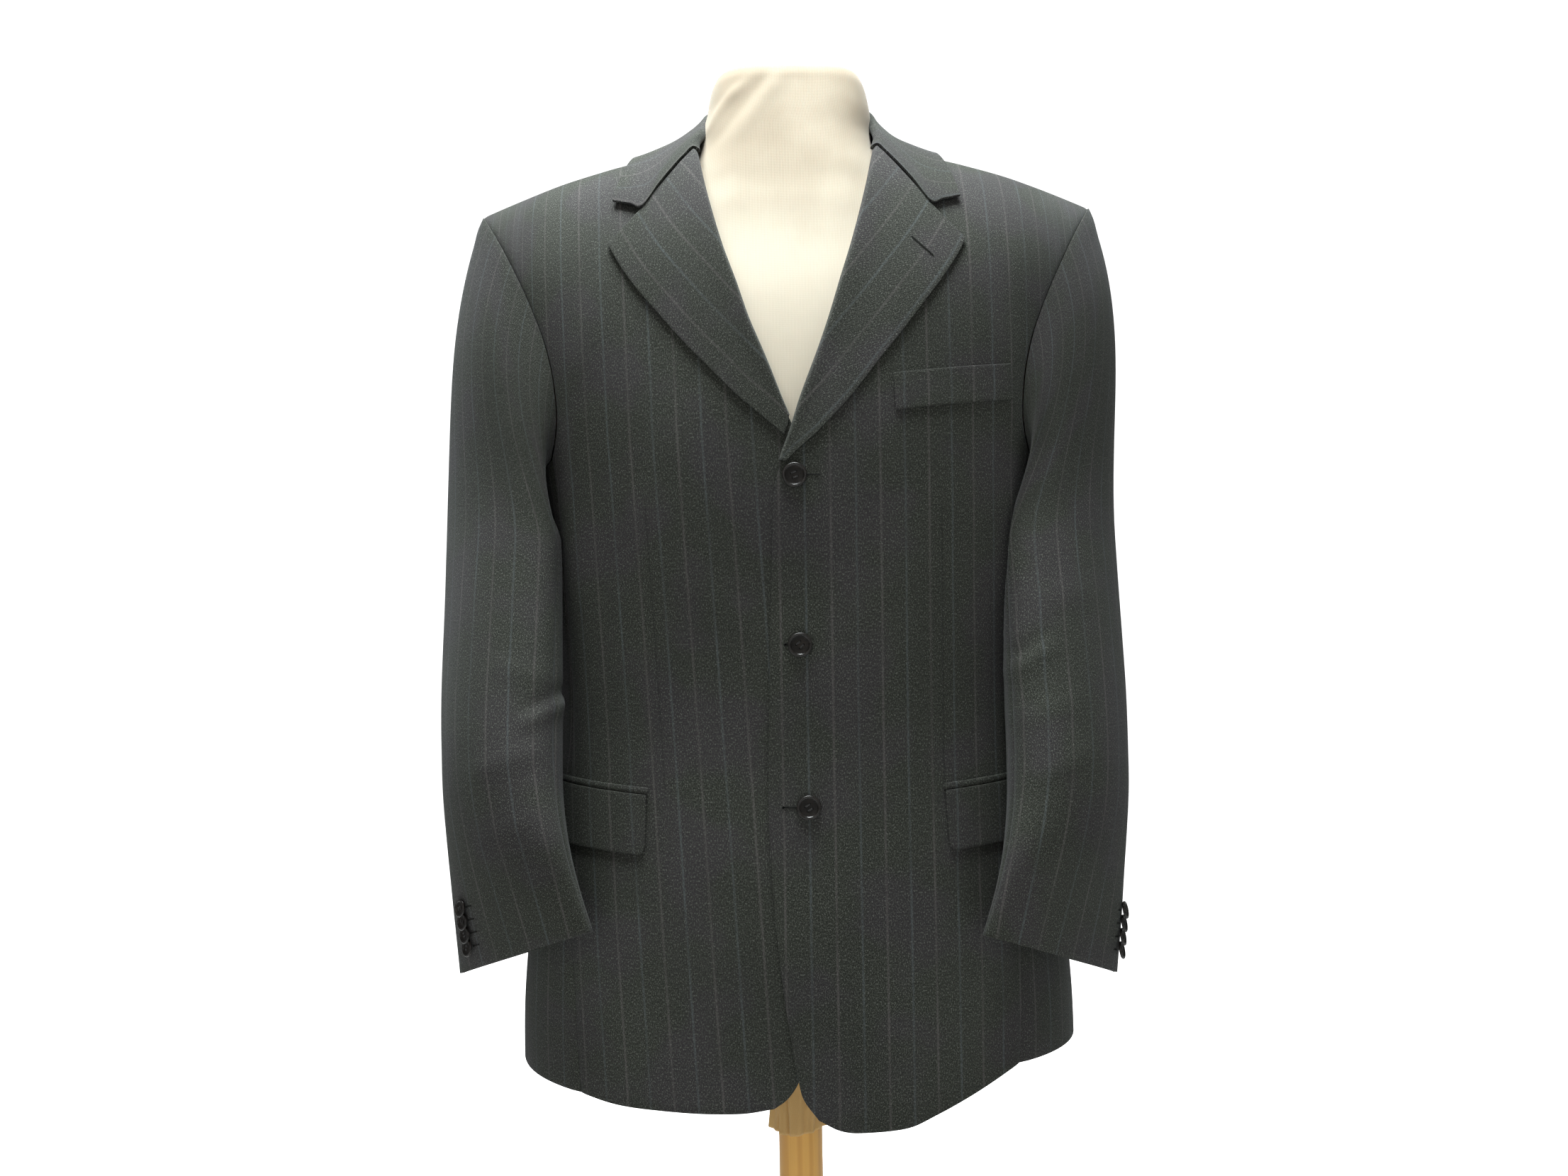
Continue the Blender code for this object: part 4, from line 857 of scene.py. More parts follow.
def side_grid(side):
    """Points, normals and flat places of a side panel."""
    columns = SIDE_COLUMNS * RING_FINE
    points, normals, flat = [], [], []
    for share in SEAM_ROWS_FINE:
        (start, z_start), (end, z_end) = side.side_seam(share, False), side.side_seam(share, True)
        row, turned_row = [], []
        for c in range(columns + 1):
            u = c / columns
            drop = ARMPIT_DROP * math.sin(math.pi * u) * ease((share - 0.6) / 0.4)
            point, normal = girth(mix(start, end, u), mix(z_start, z_end, u) - drop)
            row.append(point)
            turned_row.append(normal)
        lengths = running(row)
        points.append(row)
        normals.append(turned_row)
        flat.append([(side.sign * (length - lengths[-1] / 2), p.z) for length, p in zip(lengths, row)])
    return points, normals, flat


def seamed(side, grid, sewn):
    """The grid's outer points with relief, and a dip along its sewn edges."""
    points, normals, _ = grid
    down = [running(column) for column in zip(*points)]
    result = []
    for r, (row, turned_row) in enumerate(zip(points, normals)):
        lengths = running(row)
        moved = []
        for c, (point, normal) in enumerate(zip(row, turned_row)):
            dip = 0.0
            if "start" in sewn:
                dip = min(dip, groove(lengths[c]))
            if "end" in sewn:
                dip = min(dip, groove(lengths[-1] - lengths[c]))
            if "top" in sewn:
                dip = min(dip, groove(down[c][-1] - down[c][r]))
            moved.append(point + normal * (side.swell(point) + dip))
        result.append(moved)
    return result


def panel(name, side, grid, sewn):
    """A panel of the jacket, hung from the shoulders."""
    outer = seamed(side, grid, sewn)
    inner = [[mirrored(p - n * CLOTH, side.sign) for p, n in zip(row, turned_row)]
             for row, turned_row in zip(outer, grid[1])]
    shown = [[mirrored(p, side.sign) for p in row] for row in outer]
    return cloth_piece(name, shown, inner, grid[2], HEM_FACING_ROWS)


def armhole_loop(front, side_panel, back):
    """Points and normals round the armhole, from the shoulder point by the front and the armpit."""
    first, top = FIRST_ARMHOLE_ROW, len(front[0]) - 1
    loop = [(front[0][r][-1], front[1][r][-1]) for r in range(top, first - 1, -1)]
    loop += [(side_panel[0][-1][c], side_panel[1][-1][c]) for c in range(1, len(side_panel[0][-1]) - 1)]
    loop += [(back[0][r][-1], back[1][r][-1]) for r in range(first, top)]
    return loop


def off_body(point, gap):
    """A point below the armhole, moved out of the body until it is a gap away from it."""
    depth = FRONT_DEPTH(point.z) if point.y < 0 else BACK_DEPTH(point.z)
    reach = ((abs(point.x) / WIDTH(point.z)) ** ROUND + (abs(point.y) / depth) ** ROUND) ** (1 / ROUND)
    level = Vector((point.x, point.y, 0))
    wanted = level.length / reach + gap
    if level.length >= wanted:
        return point
    level = level.normalized() * wanted
    return Vector((level.x, level.y, point.z))


TUBE = {column: Curve(SLEEVE, "height", column) for column in Tube._fields[1:]}


def tube_point(side, level, column):
    """Point of the sleeve's tube at a level, for a column counted from the outer side."""
    low = ease((SLEEVE[0].height - level) / (SLEEVE[0].height - SLEEVE[-1].height))
    turn = math.radians(TUBE["turn"](level))
    angle = 2 * math.pi * column / SLEEVE_COLUMNS + turn
    along = Vector((math.cos(turn), math.sin(turn), 0))
    across = Vector((math.sin(turn), -math.cos(turn), 0))
    out = TUBE["out"](level) - side.sign * mix(SWING, SWING_CUFF, low)
    centre = Vector((out, -TUBE["forward"](level), level))
    if side.sign > 0:
        centre.z -= CUFF_LOWER * low
    point = centre + along * TUBE["long"](level) * math.cos(angle)
    point += across * TUBE["short"](level) * math.sin(angle)
    point.z -= TUBE["tilt"](level) * math.cos(angle)
    return point


def sleeve_grid(side, loop):
    """Outer points of a sleeve, ring by ring from the armhole to the cuff."""
    top = SLEEVE[0].height
    cap_rows = refined(CAP_ROWS, CAP_FINE)
    levels = refined([section.height for section in SLEEVE], LEVEL_FINE)[1:]
    rings = [[] for _ in range(len(cap_rows) + len(levels))]
    for column, (start, normal) in enumerate(loop):
        before, after = loop[column - 1][0], loop[(column + 1) % len(loop)][0]
        hole = normal.cross(after - before).normalized()
        if hole.dot(BEYOND_ARMHOLE - start) < 0:
            hole = -hole
        turn = 2 * math.pi * column / SLEEVE_COLUMNS
        weights = (max(0.0, math.cos(turn)) ** 2, math.sin(turn) ** 2, max(0.0, -math.cos(turn)) ** 2)
        ways = list(zip(weights, (LEAVE_TOP, LEAVE_SIDE, LEAVE_PIT)))
        hole_part, out_part, down_part = (sum(weight * way[k] for weight, way in ways) for k in range(3))
        end = tube_point(side, top, column)
        below = tube_point(side, top - 0.02, column)
        reach = (end - start).length
        leave = (hole * hole_part + normal * out_part - UP * down_part) * reach * 1.05
        arrive = (below - end).normalized() * reach
        for k, t in enumerate(cap_rows):
            point = hermite(start, leave, end, arrive, t)
            if k and point.z < ARMHOLE_FRONT[0].height:
                point = off_body(point, min(SLEEVE_CLEAR, 0.8 * (point - start).length + MM))
            rings[k].append(point)
        for k, level in enumerate(levels):
            rings[len(cap_rows) + k].append(off_body(tube_point(side, level, column), SLEEVE_CLEAR))
    return rings


def ring_normals(rings):
    """Outward normals of the sleeve's rings."""
    normals = []
    for k, ring in enumerate(rings):
        low, high = rings[max(k - 1, 0)], rings[min(k + 1, len(rings) - 1)]
        normals.append([(ring[(c + 1) % len(ring)] - ring[c - 1]).cross(high[c] - low[c]).normalized()
                        for c in range(len(ring))])
    return normals


def sleeve_relief(side, rings, normals):
    """The rings with creases, fullness at the head, and a dip along the two long seams."""
    count = SLEEVE_COLUMNS
    seams = (FRONT_SEAM_COLUMN, BACK_SEAM_COLUMN[side.name])
    from_armhole = [running(column) for column in zip(*rings)]
    moved = []
    for k, ring in enumerate(rings):
        lengths = running(ring + ring[:1])
        total = lengths[-1]
        row = []
        for c, point in enumerate(ring):
            normal = normals[k][c]
            start = from_armhole[c][k]
            dips = []
            for seam in seams:
                gap = abs(lengths[c] - lengths[seam % count])
                dips.append(groove(min(gap, total - gap)))
            shown = mirrored(point, side.sign)
            face = SLEEVE_FRONT_CREASES if normal.y < 0.35 else SLEEVE_BACK_CREASES
            bend = crease_relief(face, shown.x, shown.z)
            turn = 2 * math.pi * c / count
            head = max(0.0, math.cos(turn))
            fullness = 0.9 * MM * head * math.exp(-((start - 0.012) / 0.010) ** 2)
            pucker = 0.25 * MM * head * math.sin(c * 2.1) * math.exp(-((start - 0.008) / 0.010) ** 2)
            height = (ripple(shown) + bend) * ease(start / 0.02) + fullness + pucker
            row.append(point + normal * (height + min(dips) * ease(start / 0.004)))
        moved.append(row)
    return moved


def sleeve_half(name, side, rings, normals, columns):
    """One half of a sleeve, over a run of columns."""
    count = SLEEVE_COLUMNS
    middle = len(columns) // 2
    down = running([ring[columns[middle] % count] for ring in rings])
    outer, inner, flat = [], [], []
    for k, (ring, turned_row) in enumerate(zip(rings, normals)):
        line = [ring[c % count] for c in columns]
        lengths = running(line)
        outer.append([mirrored(p, side.sign) for p in line])
        inner.append([mirrored(p - turned_row[c % count] * CLOTH, side.sign) for p, c in zip(line, columns)])
        flat.append([(side.sign * (length - lengths[middle]), -down[k]) for length in lengths])
    outer, inner, flat = outer[::-1], inner[::-1], flat[::-1]
    return cloth_piece(name, outer, inner, flat, CUFF_FACING_ROWS)


def tent(u, peak):
    """Rises evenly from 0 to 1 at the peak and falls back to 0 at the end."""
    return u / peak if u < peak else (1 - u) / (1 - peak)


def lapel_row(side, t, spans):
    """Outer and inner points across a lapel at a share of its height, from the roll to the edge."""
    roll_low, edge_low = (1.2515, 1.2505) if side.sign > 0 else (1.2860, 1.2720)
    z_roll = mix(roll_low, GORGE_HEIGHT, t)
    z_edge = mix(edge_low, LAPEL_POINT_HEIGHT, t)
    x_roll, x_edge = side.edge(z_roll), side.lapel_edge(z_edge)
    w_roll, w_edge = unroll(x_roll, z_roll), unroll(x_edge, z_edge)
    base, normal = body(x_roll, w_roll), body_normal(x_roll, w_roll)
    over = body(x_edge, w_edge) - base
    over = (over - normal * over.dot(normal)).normalized()
    lift = side.rise(x_roll) + side.swell(base)
    fold = LAPEL_ROLL * ease(t * 4 + 0.25)
    row = [base - over * (SEAM * 4 + MM + fold) + normal * (lift - CLOTH * 0.7)]
    row_in = [base - over * SEAM * 4 + normal * (lift - CLOTH * 0.7)]
    for u in spans:
        x, w = mix(x_roll, x_edge, u), mix(w_roll, w_edge, u) - 0.0053 * t**6 * tent(u, NOTCH_SHARE)
        normal = body_normal(x, w)
        spot = body(x, w)
        low = side.rise(x) + LAPEL_LIE + side.swell(spot)
        roll_out = 1.2 * MM * (1 - ease(u * 3)) * ease(t * 4)
        row.append(spot + normal * (low + LAPEL + roll_out) - over * fold * 0.5 * (u == 0))
        row_in.append(spot + normal * low)
    return row, row_in, normal


def rounded_turn(start, end, way, count):
    """Points round a quarter turn that sets out along a way."""
    step = end - start
    rise = way * step.dot(way)
    flat_part = step - rise
    return [start + flat_part * (1 - math.cos(a)) + rise * math.sin(a)
            for a in (math.pi / 2 * k / count for k in range(count))]


def lapel(side):
    """A lapel from its roll line to its outer edge, folded round the front's edge."""
    spans = refined([0.0, 0.10, 0.30, NOTCH_SHARE, 0.80, 1.0], 8)
    outer, inner, flat = [], [], []
    for r in range(LAPEL_ROWS + 1):
        row, row_in, normal = lapel_row(side, r / LAPEL_ROWS, spans)
        row = rounded_turn(row[0], row[1], normal, 6) + row[1:]
        row_in = rounded_turn(row_in[0], row_in[1], normal, 6) + row_in[1:]
        outer.append([mirrored(p, side.sign) for p in row])
        inner.append([mirrored(p, side.sign) for p in row_in])
    up = running([row[-1] for row in outer])
    for row, along in zip(outer, up):
        lengths = running(row)
        flat.append([(side.sign * (lengths[-1] - length) + 0.006, along) for length in lengths])
    return cloth_piece("lapel_" + side.name, outer, inner, flat, NO_LINING)


def neckline(side, station):
    """Place and unrolled height of the panels' edge along the neck."""
    if station <= COLLAR_SHOULDER:
        w = CHEST + ARCH * mix(GORGE_SHARE, 1.0, station / COLLAR_SHOULDER)
        return min(edge_across(side, w), NECK_POINT), w
    x = NECK_POINT * math.cos(math.pi / 2 * (station - COLLAR_SHOULDER) / (1 - COLLAR_SHOULDER))
    return x, 2 * CREST - back_neckline(x)


def neck_edge(side, station):
    """The panels' edge along the neck: point, outward normal and the way into the neck's hole."""
    x, w = neckline(side, station)
    along = body(*neckline(side, min(1.0, station + 0.02))) - body(*neckline(side, max(0.0, station - 0.02)))
    base, normal = body(x, w), body_normal(x, w)
    if x < STEP:
        along, normal = Vector((-1, 0, 0)), Vector((0, normal.y, normal.z)).normalized()
    hole = normal.cross(along).normalized()
    return base, normal, hole if hole.dot(Vector((0, 0, base.z)) - base) > 0 else -hole


def on_body(side, x, share, rise):
    """Point over the body, at a share of the arch and a rise over the surface."""
    w = CHEST + ARCH * share
    spot = body(x, w)
    return spot + body_normal(x, w) * (rise + side.swell(spot))


def across_leaf(edge, middle, end, t, free):
    """A leaf's value at t: bent at its middle where it is sewn down, smooth where it is free."""
    bent = mix(edge, middle, t * 2) if t < 0.5 else mix(middle, end, t * 2 - 1)
    curved = edge * (1 - t) * (1 - 2 * t) + middle * 4 * t * (1 - t) + end * t * (2 * t - 1)
    return mix(bent, curved, free)


COLLAR_CURVES = {column: Curve(COLLAR_HALF, "station", column) for column in Collar._fields[1:]}


def collar_line(side, station):
    """Points across the collar's outer face: up its leaf, over the fold and down the stand."""
    row = {column: curve(station) for column, curve in COLLAR_CURVES.items()}
    low = LIE + COLLAR
    base, normal, hole = neck_edge(side, station)
    free = ease(station * 5)
    end_x, end_w = neckline(side, station)
    end_share = (end_w - CHEST) / ARCH
    leaf = COLLAR_LEAF + [1.0]
    laid = []
    for t in leaf:
        x = across_leaf(row["edge_x"], row["mid_x"], end_x, t, free)
        share = across_leaf(row["edge_w"], row["mid_w"], end_share, t, free)
        rise = across_leaf(low, row["mid_rise"], low + MM, t, free)
        laid.append(on_body(side, x, share, rise))
    fold = Vector((row["fold_x"] + side.sign * NECK_LEAN, row["fold_y"], row["fold_z"]))
    lift = (fold - laid[-1]) * free
    line = [point + lift * max(0.0, 2 * t - 1) ** COLLAR_SWEEP for point, t in zip(laid, leaf)]
    fold = line[-1]
    inward = mix(hole, (Vector((0, 0, fold.z)) - fold).normalized(), free)
    foot = base + hole * (COLLAR + 2.5 * SEAM) - normal * CLOTH * 0.6
    brow = fold + inward * (COLLAR + MM) + mix(normal * -low, UP * -2.5 * MM, free)
    return line + [brow, mix(brow, foot, 0.5), foot]


def collar(sides):
    """The collar, from one notch round the neck to the other."""
    stations = refined(COLLAR_STATIONS, 6)
    run = [(s, sides[0]) for s in stations] + [(s, sides[1]) for s in stations[-2::-1]]
    outer = []
    for station, side in run:
        outer.append(spline([mirrored(p, side.sign) for p in collar_line(side, station)], 5))
    rows, columns = len(outer), len(outer[0])
    inner = []
    for r in range(rows):
        row = []
        for c in range(columns):
            up = outer[min(r + 1, rows - 1)][c] - outer[max(r - 1, 0)][c]
            across = outer[r][min(c + 1, columns - 1)] - outer[r][max(c - 1, 0)]
            row.append(outer[r][c] - across.cross(up).normalized() * COLLAR)
        inner.append(row)
    around = running([row[columns // 3] for row in outer])
    flat = [[(along - around[-1] / 2, -length) for length in running(row)]
            for row, along in zip(outer, around)]
    return cloth_piece("collar", outer, inner, flat, NO_LINING)


def patch(name, side, corners, columns, rows, low, thickness, corner=0.0, bulge=0.0):
    """A piece that lies on the body: corners run low front, low back, high back, high front."""
    low_front, low_back, high_back, high_front = corners
    width = abs(low_back.across - low_front.across)
    outer, inner, flat = [], [], []
    for r in range(rows + 1):
        v = r / rows
        row, row_in, flat_row = [], [], []
        for c in range(columns + 1):
            u = ease(c / columns) * 0.35 + c / columns * 0.65 if corner else c / columns
            x = mix(mix(low_front.across, low_back.across, u), mix(high_front.across, high_back.across, u), v)
            z = mix(mix(low_front.height, low_back.height, u), mix(high_front.height, high_back.height, u), v)
            inset = min(u, 1 - u) * width
            if corner and inset < corner:
                z += (corner - math.sqrt(corner**2 - (corner - inset) ** 2)) * (1 - v) ** 3
            w = unroll(x, z)
            normal, spot = body_normal(x, w), body(x, w)
            base = spot + normal * (side.rise(x) + side.swell(spot))
            round_out = bulge * 4 * v * (1 - v)
            row.append(mirrored(base + normal * (low + thickness + round_out), side.sign))
            row_in.append(mirrored(base + normal * low, side.sign))
            flat_row.append(stripe_place(x, w, side))
        outer.append(row)
        inner.append(row_in)
        flat.append(flat_row)
    facing = 0 if corner else NO_LINING
    return cloth_piece(name, outer, inner, flat, facing)


def pockets(side):
    """Hip flap and jet, and on the left the chest welt."""
    flap = [Place(FLAP_FRONT + 0.002, FLAP_TOP_FRONT - FLAP_HEIGHT),
            Place(FLAP_BACK, FLAP_TOP_BACK - FLAP_HEIGHT),
            Place(FLAP_BACK, FLAP_TOP_BACK), Place(FLAP_FRONT, FLAP_TOP_FRONT)]
    patch("flap_" + side.name, side, flap, 44, 20, LIE, FLAP, FLAP_CORNER)
    gap = SEAM * 1.5
    jet = [Place(FLAP_FRONT - 0.001, FLAP_TOP_FRONT + gap), Place(FLAP_BACK, FLAP_TOP_BACK + gap),
           Place(FLAP_BACK, FLAP_TOP_BACK + gap + JET_HEIGHT),
           Place(FLAP_FRONT - 0.001, FLAP_TOP_FRONT + gap + JET_HEIGHT)]
    patch("jet_" + side.name, side, jet, 44, 6, LIE - 0.5 * MM, JET - 0.4 * MM, 0.0, 0.7 * MM)
    if side.sign > 0:
        patch("chest_welt", side, WELT_CORNERS, 50, 16, LIE, WELT)


# Buttons and thread
def thread(bm, points, radius, closed=False):
    """A thread: a small circle extruded from place to place along a run of points."""
    start = bmesh.ops.create_circle(bm, cap_ends=not closed, segments=THREAD_SIDES, radius=radius)["verts"]
    circle = [vert.co.copy() for vert in start]
    ring, last = start, len(points) - 1
    for k, point in enumerate(points):
        behind = points[k - 1] if k or closed else point
        ahead = points[(k + 1) % len(points)] if k < last or closed else point
        if k:
            loop = {edge for vert in ring for edge in vert.link_edges if edge.other_vert(vert) in ring}
            grown = bmesh.ops.extrude_edge_only(bm, edges=list(loop))["geom"]
            fresh = {item for item in grown if isinstance(item, bmesh.types.BMVert)}
            ring = [next(edge.other_vert(vert) for edge in vert.link_edges if edge.other_vert(vert) in fresh)
                    for vert in ring]
        turn = (ahead - behind).to_track_quat("Z", "Y")
        for vert, spot in zip(ring, circle):
            vert.co = point + turn @ spot
    ends = {edge for vert in ring for edge in vert.link_edges if edge.other_vert(vert) in ring}
    if closed:
        first = {edge for vert in start for edge in vert.link_edges if edge.other_vert(vert) in start}
        bmesh.ops.bridge_loops(bm, edges=list(ends | first))
    else:
        bmesh.ops.edgeloop_fill(bm, edges=list(ends))


def turned_face(bm, centre, axis, turn):
    """Bring a shape made on the floor to its place, its top along an axis, and turn it on itself."""
    way = axis.to_track_quat("Z", "Y").to_matrix().to_4x4()
    place = Matrix.Translation(centre) @ way @ Matrix.Rotation(turn, 4, "Z")
    bmesh.ops.transform(bm, matrix=place, verts=bm.verts[:])


def button(name, centre, axis, diameter, thickness, turn, look):
    """A four-hole button with a rounded rim round a flat dish, and the thread that holds it."""
    radius = diameter / 2
    dish = thickness * DISH_LEVEL
    bm = bmesh.new()
    verts = [bm.verts.new((radius * reach, 0.0, thickness * level)) for reach, level in BUTTON_RIM]
    edges = [bm.edges.new(pair) for pair in zip(verts, verts[1:])]
    bmesh.ops.spin(bm, geom=verts + edges, cent=(0, 0, 0), axis=(0, 0, 1), angle=math.tau,
                   steps=BUTTON_SIDES, use_merge=True)
    tops, bottoms = [], []
    for k in range(4):
        angle = math.pi / 4 + k * math.pi / 2
        spot = Vector((math.cos(angle), math.sin(angle), 0)) * diameter * HOLE_PLACE
        ring = bmesh.ops.create_circle(bm, segments=16, radius=diameter * HOLE_SIZE / 2,
                                       matrix=Matrix.Translation(spot + UP * dish))["verts"]
        edges = list({edge for vert in ring for edge in vert.link_edges})
        tops += edges
        grown = bmesh.ops.extrude_edge_only(bm, edges=edges)["geom"]
        bmesh.ops.translate(bm, vec=UP * -dish, verts=[v for v in grown if isinstance(v, bmesh.types.BMVert)])
        bottoms += [e for e in grown if isinstance(e, bmesh.types.BMEdge)]
    for level, holes, reach in ((dish, tops, DISH_REACH), (0.0, bottoms, FOOT_REACH)):
        rim = [edge for edge in bm.edges if all(abs(v.co.z - level) < 1e-6 and
               abs(v.co.xy.length - radius * reach) < 1e-6 for v in edge.verts)]
        bmesh.ops.triangle_fill(bm, edges=rim + holes, use_beauty=True)
    bmesh.ops.recalc_face_normals(bm, faces=bm.faces[:])
    for face in bm.faces:
        spot = face.calc_center_median()
        face.material_index = 1 if spot.xy.length < radius * FOOT_REACH and spot.z > 0 else 0
    before = set(bm.faces)
    pitch = diameter * HOLE_PLACE * math.sqrt(0.5)
    for across in (-pitch, pitch):
        for offset in (-THREAD_APART, THREAD_APART):
            run = [(-pitch, 0.2 * MM), (-pitch, dish - 0.1 * MM), (-pitch * 0.7, dish + 0.35 * MM),
                   (0.0, dish + 0.45 * MM), (pitch * 0.7, dish + 0.35 * MM), (pitch, dish - 0.1 * MM),
                   (pitch, 0.2 * MM)]
            thread(bm, [Vector((a, across + offset, z)) for a, z in run], BUTTON_THREAD)
    for face in set(bm.faces) - before:
        face.material_index = 2
    turned_face(bm, centre, axis, turn)
    piece = finish_piece(name + "_horn", bm, [look, DISH_LOOK, THREAD_LOOK], [name])
    piece.data.set_sharp_from_angle(angle=math.radians(50))
    return piece


def front_spot(side, x, z, rise):
    """A point over a front, and the normal there."""
    w = unroll(x, z)
    spot, normal = body(x, w), body_normal(x, w)
    return spot + normal * (side.rise(x) + side.swell(spot) + rise), normal


def front_buttons(side):
    for number, (spot, turn) in enumerate(zip(BUTTONS, BUTTON_TURNS), start=1):
        base, normal = front_spot(side, spot.across, spot.height, SEAM * 0.5)
        look = PATCHED_HORN_LOOK if number == 3 else HORN_LOOK
        button("front_button_%d" % number, base, normal, BUTTON, BUTTON_THICK, math.radians(turn), look)


def keyhole(length, eye):
    """Places round a buttonhole, as (along, across): a slit that ends in an eye."""
    half = SLIT_HALF
    places = [(-length, half), (-length * 0.66, half), (-length * 0.33, half)]
    if eye:
        places += [(eye * math.cos(a) + eye * 0.6, eye * math.sin(a))
                   for a in (math.radians(150 - 30 * k) for k in range(11))]
    else:
        places += [(0.0, half), (0.5 * MM, 0.0), (0.0, -half)]
    places += [(-length * 0.33, -half), (-length * 0.66, -half), (-length, -half), (-length - 0.5 * MM, 0.0)]
    return places


def buttonhole(name, spot_at, length, eye):
    """A worked buttonhole: a ring of thread round a slit, on the cloth under it; the slit is a near-black
    sheet, painted shade standing for its opening.
    """
    bm = bmesh.new()
    places = keyhole(length, eye)
    rim = [spot_at(a, b, RIM_RISE) for a, b in places]
    thread(bm, rim, RIM_THREAD, closed=True)
    # Painted shade: a near-black sheet just over the cloth fills the slit, standing for its dark opening.
    before = set(bm.faces)
    verts = [bm.verts.new(spot_at(a, b, SLIT_RISE)) for a, b in places]
    edges = [bm.edges.new(pair) for pair in zip(verts, verts[1:] + verts[:1])]
    bmesh.ops.triangle_fill(bm, edges=edges, use_beauty=True)
    slit = list(set(bm.faces) - before)
    bmesh.ops.solidify(bm, geom=slit, thickness=SLIT_WALL)
    for face in set(bm.faces) - before:
        face.material_index = 1
    bmesh.ops.recalc_face_normals(bm, faces=bm.faces[:])
    return finish_piece(name, bm, [BUTTONHOLE_LOOK, SLIT_SHADE_LOOK], [])


def buttonholes(side):
    """The fronts' three buttonholes, each with its eye towards the edge, and the lapel's."""
    for number, (spot, reach) in enumerate(zip(BUTTONS, BUTTONHOLE_REACH), start=1):
        def over(a, b, rise, spot=spot, reach=reach):
            return front_spot(side, spot.across + reach - a, spot.height + b, rise)[0]
        buttonhole("buttonhole_%d" % number, over, BUTTONHOLE_LENGTH, BUTTONHOLE_EYE)
    start, end = LAPEL_BUTTONHOLE
    run = Vector((end.across - start.across, end.height - start.height))
    length = run.length
    run.normalize()

    def on_lapel(a, b, rise):
        x = end.across + run.x * a - run.y * b
        z = end.height + run.y * a + run.x * b
        return front_spot(side, x, z, LAPEL_LIE + LAPEL + rise)[0]
    buttonhole("lapel_buttonhole", on_lapel, length, 0.0)


def ring_mix(ring, column):
    """Value between two neighbouring columns of a closed ring."""
    low = math.floor(column)
    return mix(ring[low % len(ring)], ring[(low + 1) % len(ring)], column - low)


def cuff_buttons(side, rings, normals):
    """Four buttons up the back of the sleeve's outer half, each over the next one down."""
    column = CUFF_COLUMN[side.name] * RING_FINE
    hem, above = ring_mix(rings[-1], column), ring_mix(rings[-1 - 2 * LEVEL_FINE], column)
    up = (above - hem).normalized()
    normal = ring_mix(normals[-1 - LEVEL_FINE], column)
    normal = (normal - up * normal.dot(up)).normalized()
    lean = math.radians(CUFF_LEAN)
    axis = normal * math.cos(lean) + up * math.sin(lean)
    lift = CUFF_BUTTON / 2 * math.sin(lean) + SEAM * 2
    stitches = bmesh.new()
    for number in range(CUFF_BUTTONS):
        share = (CUFF_FROM_HEM + CUFF_PITCH * number) / (above - hem).length
        base = mix(hem, above, share) + normal * lift
        name = "cuff_button_%s_%d" % (side.name, number + 1)
        button(name, mirrored(base, side.sign), mirrored(axis, side.sign), CUFF_BUTTON, CUFF_BUTTON_THICK,
               math.radians(CUFF_BUTTON_TURN * number), HORN_LOOK)
        level = 2 * LEVEL_FINE * share
        low = int(level)
        for offset in (-CUFF_THREADS_APART, CUFF_THREADS_APART):
            run = []
            for k in range(7):
                place = column + (CUFF_THREAD_START + CUFF_THREAD_REACH * k / 6)
                spot = mix(ring_mix(rings[-1 - low], place), ring_mix(rings[-2 - low], place), level - low)
                over = ring_mix(normals[-1 - low], place)
                run.append(mirrored(spot + over * CUFF_THREAD_RISE + up * offset, side.sign))
            thread(stitches, run, CUFF_THREAD)
    bmesh.ops.recalc_face_normals(stitches, faces=stitches.faces[:])
    finish_piece("cuff_stitches_" + side.name, stitches, [BUTTONHOLE_LOOK], [])


# Dress form, its cover's tail, and the stand
def curves_of(table):
    return [Curve(table, "height", column) for column in Level._fields[1:]]


FORM_CURVES, NECK_CURVES = curves_of(FORM), curves_of(NECK)


def form_reach(angle, z):
    """Distance from the axis to the dress form's side, at a height and an angle."""
    across, deep = abs(math.cos(angle)), abs(math.sin(angle))
    back = math.sin(angle) > 0
    half_width, depth = FORM_CURVES[0](z), FORM_CURVES[2 if back else 1](z)

    def inside(r):
        x, y = across * r, deep * r
        if x >= half_width:
            return False
        reach = depth * (1 - (x / half_width) ** ROUND) ** (1 / ROUND)
        if z > CHEST:
            top = RIDGE(x) - CLOTH - SHOULDER_REST - FORM_SINK - NECK_REST * ease((0.15 - x) / 0.04)
            if z >= top:
                return False
            reach *= (1 - ((z - CHEST) / (top - CHEST)) ** FORM_ROUND) ** (1 / FORM_ROUND)
        return y < reach

    low, high = 0.0, 0.35
    for _ in range(22):
        middle = (low + high) / 2
        low, high = (middle, high) if inside(middle) else (low, middle)
    if z < NECK_RISE_START:
        return low
    neck_depth = NECK_CURVES[2 if back else 1](z)
    power = 2.0 if back else NECK_ROUND
    neck = ((across / NECK_CURVES[0](z)) ** power + (deep / neck_depth) ** power) ** (-1 / power)
    near = max(NECK_BLEND - abs(low - neck), 0.0) / NECK_BLEND
    whole = max(low, neck) + near * near * NECK_BLEND * 0.25
    return mix(low, whole, ease((z - NECK_RISE_START) / NECK_RISE))


def gridded(spots, flat):
    """A bmesh through rows of points, with their flat places as its UV map."""
    columns = len(spots[0])
    bm = bmesh.new()
    bmesh.ops.create_grid(bm, x_segments=columns - 1, y_segments=len(spots) - 1, size=1.0)
    places = bm.loops.layers.uv.new("cloth")
    for index, vert in enumerate(bm.verts):
        vert.co = spots[index // columns][index % columns]
    bm.verts.index_update()
    for face in bm.faces:
        for loop in face.loops:
            row, column = divmod(loop.vert.index, columns)
            loop[places].uv = flat[row][column]
    return bm


